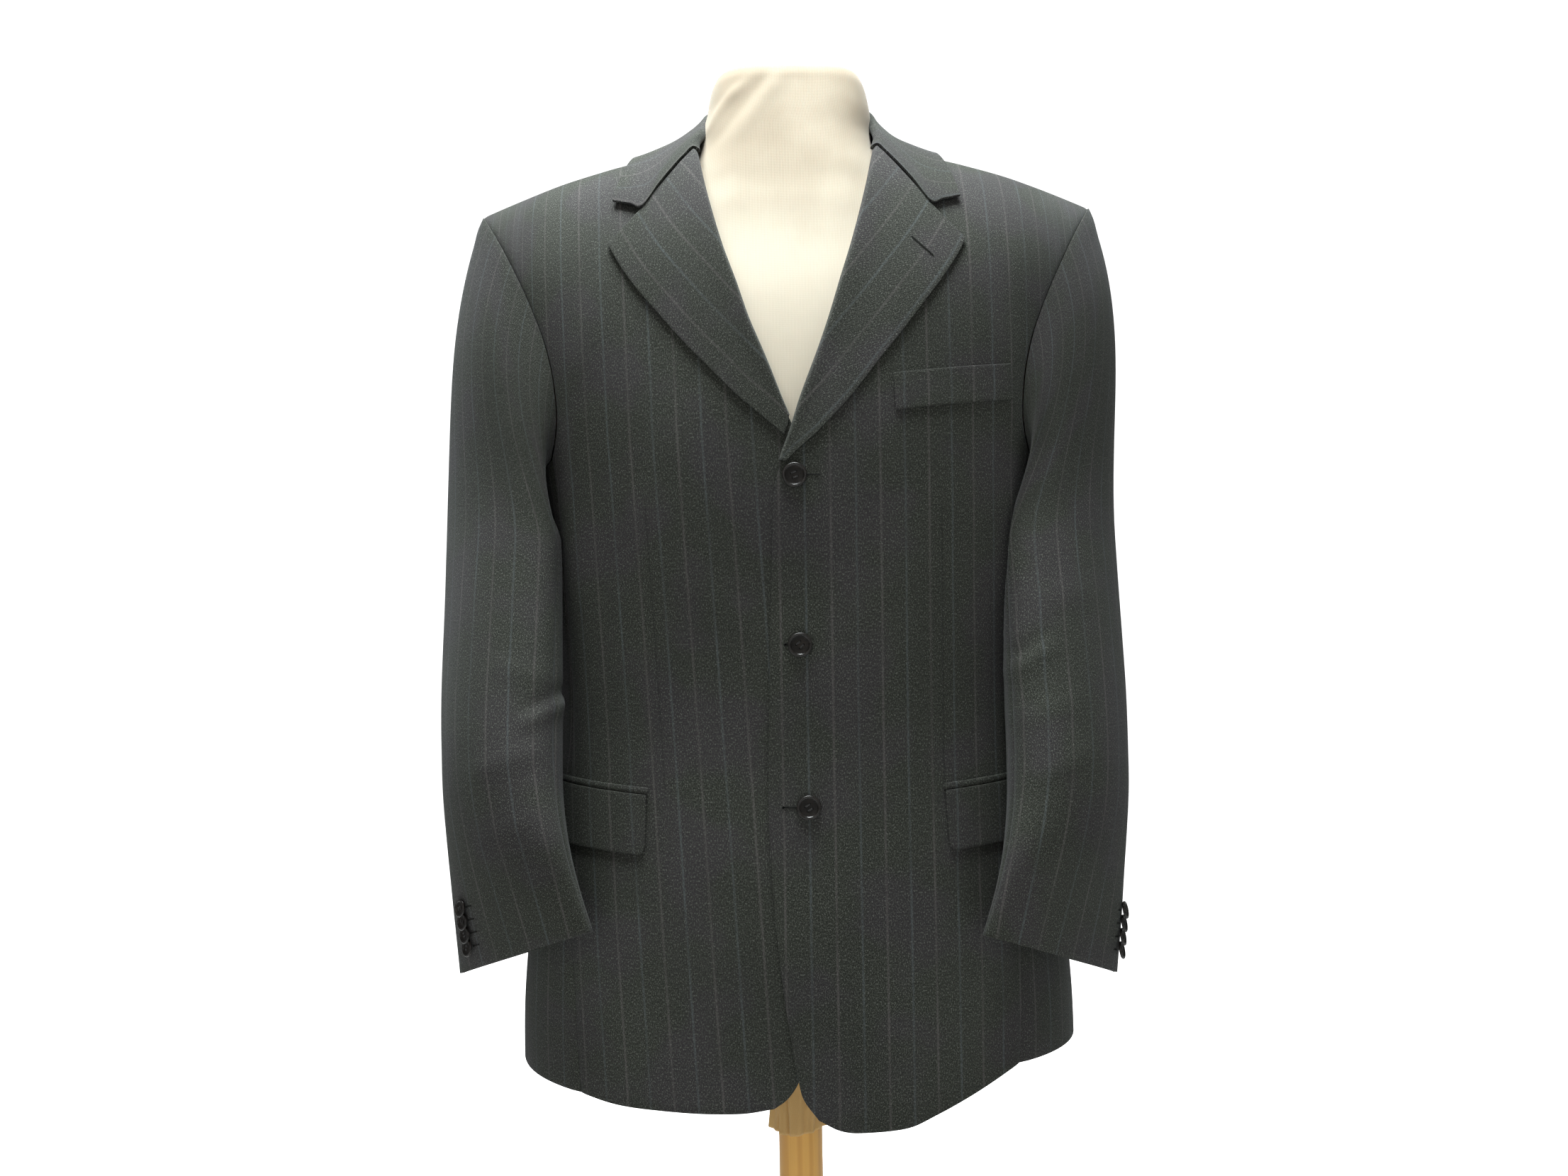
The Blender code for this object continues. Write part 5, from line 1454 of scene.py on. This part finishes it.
def dress_form():
    """The form's torso and neck, covered in jersey with creases on the neck's front; painted shade darkens
    its colour towards the neck's top.
    """
    rings, flat = [], []
    for z in refined(FORM_RINGS, FORM_FINE):
        lean = NECK_LEAN * ease((z - 1.540) / 0.030)
        ring = []
        for k in range(FORM_COLUMNS + 1):
            angle = math.tau * (k % FORM_COLUMNS) / FORM_COLUMNS + math.pi / 2
            r = form_reach(angle, z)
            way = Vector((math.cos(angle), math.sin(angle), 0))
            spot = way * r + Vector((lean, 0, z))
            if z > NECK_START and spot.y < 0:
                spot += way * crease_relief(NECK_CREASES, spot.x, spot.z) * ease((z - NECK_START) / 0.03)
            ring.append(spot)
        rings.append(ring)
        lengths = running(ring)
        flat.append([(length - lengths[-1] / 2, z) for length in lengths])
    bm = gridded(rings, flat)
    bmesh.ops.remove_doubles(bm, verts=bm.verts[:], dist=1e-6)
    bmesh.ops.holes_fill(bm, edges=[edge for edge in bm.edges if edge.is_boundary], sides=0)
    bmesh.ops.recalc_face_normals(bm, faces=bm.faces[:])
    piece = finish_piece("dress_form_cover", bm, [JERSEY_LOOK], ["dress_form"])


def cover_tail():
    """The end of the form's cover, gathered round the top of the pole."""
    reach = Curve(TAIL, "height", "across")
    columns = TAIL_PLEATS * PLEAT_FINE
    spots, flat = [], []
    for z in refined([TAIL_TOP, TAIL_BOTTOM], TAIL_ROWS):
        down = (TAIL_TOP - z) / (TAIL_TOP - TAIL_BOTTOM)
        row = []
        for k in range(columns + 1):
            angle = math.tau * (k % columns) / columns
            way = Vector((math.cos(angle), math.sin(angle), 0))
            wander = 0.5 * noise.noise(Vector((math.cos(angle) * 2, math.sin(angle) * 2, z * 22)))
            pleat = 1.5 * MM * math.cos(TAIL_PLEATS * angle + 5 * wander)
            pleat += 0.7 * MM * math.cos(2.3 * TAIL_PLEATS * angle + 9 * wander + 1.0) * ease(down * 3)
            crumple = 1.6 * MM * noise.noise(Vector((way.x * 3, way.y * 3, z * 45)))
            radius = max(reach(z) + pleat + crumple, POLE_RADIUS + 0.9 * MM)
            drop = 0.006 * math.sin(angle + 0.6) * ease((0.72 - z) / 0.05)
            row.append(way * radius + UP * (z + drop * down))
        spots.append(row)
        lengths = running(row)
        flat.append([(length, z) for length in lengths])
    bm = gridded(spots, flat)
    area = sum(face.calc_area() for face in bm.faces)
    bmesh.ops.remove_doubles(bm, verts=bm.verts[:], dist=1e-6)
    bmesh.ops.recalc_face_normals(bm, faces=bm.faces[:])
    piece = finish_piece("cover_tail_cloth", bm, [TAIL_LOOK], ["cover_tail"])
    wall = piece.modifiers.new("cloth_wall", "SOLIDIFY")
    wall.thickness = TAIL_CLOTH
    wall.offset = -1.0
    cut_from_cloth(max(row[-1][0] for row in flat), TAIL_TOP - TAIL_BOTTOM, area)


def spun(name, profile, sides, look):
    """A turned piece of wood, from a profile of radius and height that starts and ends on the axis."""
    bm = bmesh.new()
    verts = [bm.verts.new((r, 0.0, z)) for r, z in profile]
    edges = [bm.edges.new(pair) for pair in zip(verts, verts[1:])]
    bmesh.ops.spin(bm, geom=verts + edges, cent=(0, 0, 0), axis=(0, 0, 1), angle=math.tau,
                   steps=sides, use_merge=True)
    bmesh.ops.remove_doubles(bm, verts=bm.verts[:], dist=1e-6)
    bmesh.ops.recalc_face_normals(bm, faces=bm.faces[:])
    piece = finish_piece(name + "_wood", bm, [look], [name])
    piece.data.set_sharp_from_angle(angle=math.radians(40))


def stand():
    bottom, top = BASE_HEIGHT + SEAM, FORM[0].height - SEAM
    ease_off = 1.0 * MM
    pole = [(0.0, bottom), (POLE_RADIUS, bottom)]
    pole += [(POLE_RADIUS, z) for z in refined([bottom + ease_off, top - ease_off], 12)]
    pole += [(POLE_RADIUS - ease_off, top), (0.0, top)]
    spun("pole", pole, 72, POLE_LOOK)
    edge = 0.010
    base = [(0.0, 0.0), (BASE_RADIUS - 0.003, 0.0), (BASE_RADIUS, 0.003), (BASE_RADIUS, BASE_HEIGHT - edge)]
    base += [(BASE_RADIUS - edge * (1 - math.cos(a)), BASE_HEIGHT - edge * (1 - math.sin(a)))
             for a in (math.pi / 2 * k / 8 for k in range(1, 9))]
    base += [(r, BASE_HEIGHT) for r in (0.16, 0.12, 0.08, 0.04, 0.0)]
    spun("base", base, 160, BASE_LOOK)


# Finishes
def rgb(red, green, blue):
    return (red, green, blue, 1.0)


FLECK = rgb(0.165, 0.175, 0.152)
MAUVE = rgb(0.026, 0.022, 0.026)
TWILL = 1.15 * MM           # from one twill line to the next
DART_MIDDLE, DART_HALF = 1.100, 0.115       # height of the front dart's middle, and half its length
DART_ACROSS = 0.1236


class Value:
    """A number in a shader, with which sums are written in the usual signs."""

    def __init__(self, tree, socket):
        self.tree, self.socket = tree, socket

    def sum(self, operation, *values):
        node = add_node(self.tree, "Math", dict(enumerate(values)), operation=operation)
        return Value(self.tree, node.outputs[0])

    def __add__(self, other):
        return self.sum("ADD", self, other)

    def __sub__(self, other):
        return self.sum("SUBTRACT", self, other)

    def __rsub__(self, other):
        return self.sum("SUBTRACT", other, self)

    def __mul__(self, other):
        return self.sum("MULTIPLY", self, other)

    def __truediv__(self, other):
        return self.sum("DIVIDE", self, other)

    def __abs__(self):
        return self.sum("ABSOLUTE", self)

    def sine(self):
        return self.sum("SINE", self)

    def ramp(self, low, high, to_low=0.0, to_high=1.0):
        """The value brought smoothly from one range to another."""
        node = add_node(self.tree, "MapRange", {"Value": self, "From Min": low, "From Max": high,
                                                "To Min": to_low, "To Max": to_high},
                        interpolation_type="SMOOTHSTEP")
        return Value(self.tree, node.outputs["Result"])


def feed(tree, value, socket):
    """Give an input a value, or a link from another node."""
    if isinstance(value, Value):
        value = value.socket
    if isinstance(value, bpy.types.NodeSocket):
        tree.links.new(value, socket)
    else:
        socket.default_value = value


def add_node(tree, kind, values=None, **settings):
    """A shader node with its settings, and with values or links on its inputs."""
    node = tree.nodes.new("ShaderNode" + kind)
    for name, value in settings.items():
        setattr(node, name, value)
    for name, value in (values or {}).items():
        feed(tree, value, node.inputs[name])
    return node


class Effect:
    """A shader node group: a look worked out from a place, with named inputs and three outputs."""

    def __init__(self, name, *inputs):
        self.tree = bpy.data.node_groups.new(name, "ShaderNodeTree")
        sockets = self.tree.interface
        for label, kind, value in (("Place", "Vector", None),) + inputs:
            socket = sockets.new_socket(name=label, in_out="INPUT", socket_type="NodeSocket" + kind)
            if value is not None:
                socket.default_value = value
        for label, kind in (("Color", "Color"), ("Height", "Float"), ("Roughness", "Float")):
            sockets.new_socket(name=label, in_out="OUTPUT", socket_type="NodeSocket" + kind)
        self.given = self.tree.nodes.new("NodeGroupInput").outputs
        self.place = self.given["Place"]

    def __getitem__(self, label):
        return Value(self.tree, self.given[label])

    def parts(self, vector):
        """The first two parts of a vector."""
        outputs = add_node(self.tree, "SeparateXYZ", {0: vector}).outputs
        return Value(self.tree, outputs["X"]), Value(self.tree, outputs["Y"])

    def vector(self, operation, *values):
        return add_node(self.tree, "VectorMath", dict(enumerate(values)), operation=operation)

    def speckle(self, scale, detail=2.0, rough=0.5, output="Fac"):
        """Noise over the place, stretched where the scale has three parts."""
        place = self.place
        if isinstance(scale, tuple):
            place, scale = self.vector("MULTIPLY", place, scale).outputs[0], 1.0
        node = add_node(self.tree, "TexNoise", {"Vector": place, "Scale": scale, "Detail": detail,
                                                "Roughness": rough})
        return Value(self.tree, node.outputs[output])

    def blend(self, share, a, b):
        """Two colours mixed."""
        node = add_node(self.tree, "Mix", {"Factor": share}, data_type="RGBA")
        feed(self.tree, a, node.inputs[6])
        feed(self.tree, b, node.inputs[7])
        return node.outputs[2]

    def put_out(self, colour, height, roughness):
        inputs = self.tree.nodes.new("NodeGroupOutput").inputs
        for label, value in (("Color", colour), ("Height", height), ("Roughness", roughness)):
            feed(self.tree, value, inputs[label])
        return self.tree


def pinstripe_group():
    """Fine worsted twill with thin broken stripes in two tints; the place is in metres on the flat cloth."""
    wool = Effect("pinstripe_cloth", ("Spacing", "Float", 0.0205), ("Stripe Width", "Float", 0.0019),
                  ("Stripe Strength", "Float", 0.65), ("Dart Across", "Float", 9.0),
                  ("Ground", "Color", None), ("Heather", "Color", None),
                  ("Warm Stripe", "Color", None), ("Cool Stripe", "Color", None))
    x, y = wool.parts(wool.place)
    wander = (wool.speckle(9.0) - 0.5) * (0.8 * MM)
    across = (x + wander) / wool["Spacing"]
    cell = across.sum("FLOOR", across)
    gap = abs(across - cell - 0.5) * wool["Spacing"]
    line = 1.0 - (gap / wool["Stripe Width"]).ramp(0.1, 0.85)
    broken = wool.speckle((900, 420, 1), 1.0).ramp(0.30, 0.62, 0.25, 1.0)
    worn = wool.speckle((30, 14, 1)).ramp(0.3, 0.7, 0.45, 1.0)
    stripe = line * broken * (worn * wool["Stripe Strength"])
    odd = cell.sum("MODULO", abs(cell), 2.0)
    tint = wool.blend(odd, wool["Cool Stripe"], wool["Warm Stripe"])

    jitter = wool.speckle(700.0) * 4.0
    twill = ((x + y * 0.8) * (math.tau / TWILL) + jitter).sine()
    fibres = wool.speckle((1100, 620, 1), 3.0, 0.7)
    grain = wool.speckle(1250.0, 2.0, 0.65)
    slow = wool.speckle(7.0).ramp(0.3, 0.7, 0.90, 1.10)
    ground = wool.blend(grain.ramp(0.36, 0.66), wool["Ground"], wool["Heather"])
    ground = wool.blend(wool.speckle(13.0).ramp(0.44, 0.62, 0.0, 0.6), ground, MAUVE)
    ground = wool.blend(fibres.ramp(0.50, 0.72) * 0.70, ground, FLECK)

    # Painted shade: the colour is darkened by up to a fifth along the front dart's line, standing for shade
    # in its seam; the same mask also sinks the bump there.
    dart = 1.0 - abs(abs(x) - wool["Dart Across"]).ramp(0.2 * MM, 1.2 * MM)
    dart = dart * abs(y - DART_MIDDLE).ramp(DART_HALF, DART_HALF + 0.01, 1.0, 0.0)
    shade = slow * (twill * 0.18 + 1.0) * (1.0 - dart * 0.2)
    cloth = wool.vector("SCALE", wool.blend(stripe, ground, tint))
    feed(wool.tree, shade, cloth.inputs["Scale"])
    height = twill * 0.35 + fibres * 1.1 - dart * 4.0
    return wool.put_out(cloth.outputs[0], height, grain.ramp(0.3, 0.7, 0.78, 0.94))


def jersey_group():
    """Fine knit: wales side by side, courses of loops in each; the place is in metres."""
    knit = Effect("jersey_knit", ("Wale", "Float", 0.0011), ("Course", "Float", 0.0009),
                  ("Yarn", "Color", None), ("Shade", "Color", None))
    x, y = knit.parts(knit.place)
    wale = abs((x / knit["Wale"] * math.pi).sine())
    course = (wale * 2.2 + y / knit["Course"] * math.tau).sine()
    fuzz = knit.speckle(1400.0, 3.0, 0.6)
    slow = knit.speckle(11.0, 3.0)
    height = wale + course * 0.25 + fuzz * 0.6
    light = height.ramp(0.1, 1.4, 0.5, 0.8) + slow.ramp(0.35, 0.7, 0.0, 0.12)
    # Painted shade: the colour darkens with height from 1.36 m to 1.61 m, most at the top of the form's neck,
    # by an amount that a slow noise varies.
    drawn = y.ramp(1.36, 1.61) * slow.ramp(0.3, 0.7, 0.95, 0.65)
    colour = knit.blend((light - drawn).ramp(-0.3, 1.3), knit["Shade"], knit["Yarn"])
    return knit.put_out(colour, height, fuzz.ramp(0.3, 0.7, 0.72, 0.90))


def wood_group():
    """Straight-grained light wood; the grain runs along the place's third part."""
    wood = Effect("light_wood_grain", ("Pale", "Color", None), ("Dark", "Color", None),
                  ("Rings", "Float", 90.0))
    sway = wood.speckle((9, 9, 2.2), output="Color")
    sway = wood.vector("MULTIPLY", sway, (0.02, 0.02, 0.0)).outputs[0]
    x, y = wood.parts(wood.vector("ADD", wood.place, sway).outputs[0])
    rings = ((x + y * 0.35) * (wood["Rings"] * math.tau)).sine()
    late = rings.ramp(-0.2, 0.98, 0.0, 0.8)
    pores = wood.speckle((900, 900, 14)).ramp(0.56, 0.72)
    slow = wood.speckle((14, 14, 1.5), 3.0)
    share = late * 0.55 + slow * 0.35 + pores * 0.22
    colour = wood.blend(share, wood["Pale"], wood["Dark"])
    return wood.put_out(colour, late * 0.4 - pores, slow.ramp(0.3, 0.7, 0.40, 0.55))


def horn_group():
    """Dark horn with slow streaks, and one spot where it lets brown through."""
    horn = Effect("dark_horn", ("Dark", "Color", None), ("Streak", "Color", None),
                  ("Patch", "Vector", (0.0, 0.0, -9.0)), ("Patch Color", "Color", None),
                  ("Polish", "Float", 0.2))
    streaks = horn.speckle((90, 90, 260), 4.0, 0.6).ramp(0.40, 0.75)
    scratches = horn.speckle((2600, 2600, 700))
    away = Value(horn.tree, horn.vector("DISTANCE", horn.place, horn["Patch"]).outputs["Value"])
    colour = horn.blend(streaks, horn["Dark"], horn["Streak"])
    colour = horn.blend(away.ramp(1.5 * MM, 6.0 * MM, 0.8, 0.0), colour, horn["Patch Color"])
    return horn.put_out(colour, scratches, scratches.ramp(0.3, 0.8, 0.0, 0.15) + horn["Polish"])


def finish_of(name, group, bump, distance, values, place="cloth", turn=(0, 0, 0), **sockets):
    """A material: an effect's group on a Principled shader, whose even values are set on its own sockets."""
    material = bpy.data.materials.new(name)
    material.use_nodes = True
    tree = material.node_tree
    shader = tree.nodes["Principled BSDF"]
    if place == "cloth":
        spot = add_node(tree, "UVMap", uv_map="cloth").outputs["UV"]
    else:
        spot = add_node(tree, "TexCoord").outputs["Object"]
    if any(turn):
        spot = add_node(tree, "Mapping", {"Vector": spot, "Rotation": turn}).outputs["Vector"]
    effect = add_node(tree, "Group", node_tree=group)
    for socket, value in dict(values, Place=spot).items():
        feed(tree, value, effect.inputs[socket])
    relief = add_node(tree, "Bump", {"Strength": bump, "Distance": distance,
                                     "Height": effect.outputs["Height"]})
    feed(tree, effect.outputs["Color"], shader.inputs["Base Color"])
    feed(tree, effect.outputs["Roughness"], shader.inputs["Roughness"])
    feed(tree, relief.outputs["Normal"], shader.inputs["Normal"])
    for socket, value in sockets.items():
        feed(tree, value, shader.inputs[socket.replace("_", " ")])
    return material


WOOL = {"Ground": rgb(0.003, 0.0038, 0.0026), "Heather": rgb(0.038, 0.0415, 0.0325),
        "Warm Stripe": rgb(0.088, 0.080, 0.078), "Cool Stripe": rgb(0.070, 0.082, 0.085)}
WOOL_SHADER = {"Specular_IOR_Level": 0.22, "Sheen_Weight": 0.10, "Sheen_Roughness": 0.40,
               "Sheen_Tint": rgb(0.62, 0.64, 0.66)}

STRIPES, KNIT, GRAIN, HORN = pinstripe_group(), jersey_group(), wood_group(), horn_group()
CLOTH_LOOK = finish_of("pinstripe_wool", STRIPES, 0.55, 0.35 * MM, WOOL, **WOOL_SHADER)
# The fronts' wool, with painted shade along the dart.
DART_SHADED_CLOTH_LOOK = finish_of("darted_pinstripe_wool", STRIPES, 0.55, 0.35 * MM,
                              dict(WOOL, **{"Dart Across": DART_ACROSS}), **WOOL_SHADER)
LINING_LOOK = finish_of("sleeve_and_body_lining", KNIT, 0.2, 0.05 * MM,
                        {"Yarn": rgb(0.020, 0.021, 0.024), "Shade": rgb(0.012, 0.012, 0.014),
                         "Wale": 0.00045, "Course": 0.00045},
                        Specular_IOR_Level=0.6, Sheen_Weight=0.1, Anisotropic=0.4)
JERSEY_LOOK = finish_of("cream_jersey_cover", KNIT, 0.35, 0.18 * MM,
                        {"Yarn": rgb(0.59, 0.54, 0.44), "Shade": rgb(0.25, 0.205, 0.145)},
                        Specular_IOR_Level=0.25, Sheen_Weight=0.25, Sheen_Roughness=0.5,
                        Sheen_Tint=rgb(1.0, 0.94, 0.85), Subsurface_Weight=0.05, Subsurface_Scale=0.004)
TAIL_LOOK = finish_of("gathered_jersey", KNIT, 0.35, 0.18 * MM,
                      {"Yarn": rgb(0.54, 0.34, 0.13), "Shade": rgb(0.38, 0.22, 0.065)}, Sheen_Weight=0.1)
HORN_COLOURS = {"Dark": rgb(0.009, 0.008, 0.007), "Streak": rgb(0.022, 0.018, 0.015),
                "Patch Color": rgb(0.095, 0.042, 0.020)}
HORN_LOOK = finish_of("polished_dark_horn", HORN, 0.08, 0.03 * MM, dict(HORN_COLOURS, Polish=0.24), "object",
                      Specular_IOR_Level=0.32)
DISH_LOOK = finish_of("matte_horn_dish", HORN, 0.35, 0.05 * MM, dict(HORN_COLOURS, Polish=0.42), "object",
                      Specular_IOR_Level=0.14)
PATCHED_HORN_LOOK = finish_of("brown_patched_horn", HORN, 0.08, 0.03 * MM,
                              dict(HORN_COLOURS, Polish=0.22, Patch=(0.0098, -0.145, 0.966)), "object",
                              Specular_IOR_Level=0.32)
THREAD_SHADE = {"Yarn": rgb(0.016, 0.015, 0.014), "Shade": rgb(0.006, 0.006, 0.006), "Wale": 0.0004,
                "Course": 0.0005}
THREAD_LOOK = finish_of("button_thread", KNIT, 0.6, 0.08 * MM, THREAD_SHADE, "object", Sheen_Weight=0.2)
BUTTONHOLE_LOOK = finish_of("buttonhole_silk", KNIT, 0.8, 0.12 * MM,
                            {"Yarn": rgb(0.013, 0.014, 0.012), "Shade": rgb(0.007, 0.007, 0.006),
                             "Wale": 0.0005, "Course": 0.0006}, "object", Specular_IOR_Level=0.2)
# Near-black: painted shade inside the buttonholes' slits.
SLIT_SHADE_LOOK = finish_of("buttonhole_slit", KNIT, 0.2, 0.05 * MM,
                      {"Yarn": rgb(0.003, 0.003, 0.003), "Shade": rgb(0.002, 0.002, 0.002)}, "object",
                      Specular_IOR_Level=0.05)
WOOD_TINTS = {"Pale": rgb(0.66, 0.36, 0.075), "Dark": rgb(0.48, 0.22, 0.035)}
POLE_LOOK = finish_of("pole_wood", GRAIN, 0.25, 0.10 * MM, WOOD_TINTS, "object",
                      Specular_IOR_Level=0.4, Coat_Weight=0.15, Coat_Roughness=0.35)
BASE_LOOK = finish_of("base_wood", GRAIN, 0.25, 0.10 * MM, dict(WOOD_TINTS, Rings=60.0), "object",
                      (0.0, math.pi / 2, 0.0), Specular_IOR_Level=0.4, Coat_Weight=0.15, Coat_Roughness=0.35)


# Camera, light and floor
PHOTO_WIDTH, FOCAL = 2212, 2012.5           # in pixels
SENSOR = 36.0
CAMERA = Vector((-0.0072, -1.290, 1.150))
CAMERA_ROLL = -0.92         # in degrees
WORLD_STRENGTH = 0.20
BACKDROP_STRENGTH = 1.2     # of the white that only the camera sees
Lamp = namedtuple("Lamp", "name spot aim size power colour")
LAMPS = [
    Lamp("window", (-0.7, -2.8, 1.8), (0, 0, 1.2), (2.2, 1.6), 17, (1.0, 0.99, 0.96)),
    Lamp("fill", (2.0, -2.4, 1.6), (0, 0, 1.1), (1.8, 1.8), 6, (0.98, 0.99, 1.0)),
    Lamp("behind", (0.9, 2.6, 2.0), (0, 0, 1.1), (2.0, 1.6), 14, (1.0, 1.0, 1.0)),
    Lamp("overhead", (-0.15, -0.25, 3.0), (0, 0, 1.2), (1.1, 0.8), 130, (0.94, 0.99, 1.0)),
]


def set_camera():
    camera = bpy.data.cameras.new("photo_view")
    camera.sensor_width = SENSOR
    camera.lens = SENSOR * FOCAL / PHOTO_WIDTH
    spot = bpy.data.objects.new("photo_view", camera)
    bpy.context.collection.objects.link(spot)
    spot.matrix_world = (Matrix.Translation(CAMERA) @ Matrix.Rotation(math.radians(90), 4, "X")
                         @ Matrix.Rotation(math.radians(CAMERA_ROLL), 4, "Z"))
    bpy.context.scene.camera = spot
    bpy.context.scene.view_settings.view_transform = "Standard"


def soft_light(lamp):
    light = bpy.data.lights.new(lamp.name, "AREA")
    light.shape = "RECTANGLE"
    light.size, light.size_y = lamp.size
    light.energy = lamp.power
    light.color = lamp.colour
    holder = bpy.data.objects.new(lamp.name, light)
    bpy.context.collection.objects.link(holder)
    holder.location = lamp.spot
    holder.rotation_euler = (Vector(lamp.aim) - Vector(lamp.spot)).to_track_quat("-Z", "Y").to_euler()


def set_lights():
    world = bpy.data.worlds.new("white_studio")
    bpy.context.scene.world = world
    world.use_nodes = True
    sky = world.node_tree.nodes["Background"]
    sky.inputs["Color"].default_value = rgb(1.0, 1.0, 1.0)
    seen = add_node(world.node_tree, "LightPath").outputs["Is Camera Ray"]
    strength = Value(world.node_tree, seen).ramp(0.0, 1.0, WORLD_STRENGTH, BACKDROP_STRENGTH)
    feed(world.node_tree, strength, sky.inputs["Strength"])
    for lamp in LAMPS:
        soft_light(lamp)


def set_floor():
    """A pale floor whose outer part fades into the white round it."""
    bm = bmesh.new()
    bmesh.ops.create_circle(bm, cap_ends=True, cap_tris=True, segments=96, radius=6.0)
    mesh = bpy.data.meshes.new("floor")
    bm.to_mesh(mesh)
    bm.free()
    floor = bpy.data.objects.new("floor", mesh)
    bpy.context.collection.objects.link(floor)
    material = bpy.data.materials.new("pale_floor")
    material.use_nodes = True
    tree = material.node_tree
    shader = tree.nodes["Principled BSDF"]
    shader.inputs["Roughness"].default_value = 0.9
    spot = add_node(tree, "TexCoord").outputs["Object"]
    away = Value(tree, add_node(tree, "VectorMath", {0: spot}, operation="LENGTH").outputs["Value"])
    shader.inputs["Base Color"].default_value = rgb(0.86, 0.86, 0.85)
    shader.inputs["Emission Color"].default_value = rgb(1.0, 1.0, 1.0)
    seen = add_node(tree, "LightPath").outputs["Is Camera Ray"]
    feed(tree, away.ramp(0.8, 1.8) * seen * BACKDROP_STRENGTH, shader.inputs["Emission Strength"])
    shader.inputs["Specular IOR Level"].default_value = 0.1
    mesh.materials.append(material)


def main():
    set_camera()
    sides = [Side(1, EDGE_LEFT, HEM_LEFT, LAPEL_EDGE_LEFT), Side(-1, EDGE_RIGHT, HEM_RIGHT, LAPEL_EDGE_RIGHT)]
    for side in sides:
        front, side_panel, back = front_grid(side), side_grid(side), back_grid(side)
        panel("front_" + side.name, side, front, ("end", "top"))
        panel("side_" + side.name, side, side_panel, ("start", "end"))
        panel("back_" + side.name, side, back, ("start", "end", "top"))
        rings = sleeve_grid(side, armhole_loop(front, side_panel, back))
        normals = ring_normals(rings)
        moved = sleeve_relief(side, rings, normals)
        back_seam = BACK_SEAM_COLUMN[side.name]
        top_run = list(range(back_seam, SLEEVE_COLUMNS + FRONT_SEAM_COLUMN + 1))
        under_run = list(range(FRONT_SEAM_COLUMN, back_seam + 1))
        sleeve_half("sleeve_top_" + side.name, side, moved, normals, top_run)
        sleeve_half("sleeve_under_" + side.name, side, moved, normals, under_run)
        lapel(side)
        pockets(side)
        cuff_buttons(side, moved, normals)
    collar(sides)
    front_buttons(sides[0])
    buttonholes(sides[0])
    dress_form()
    cover_tail()
    stand()
    set_floor()
    set_lights()


main()
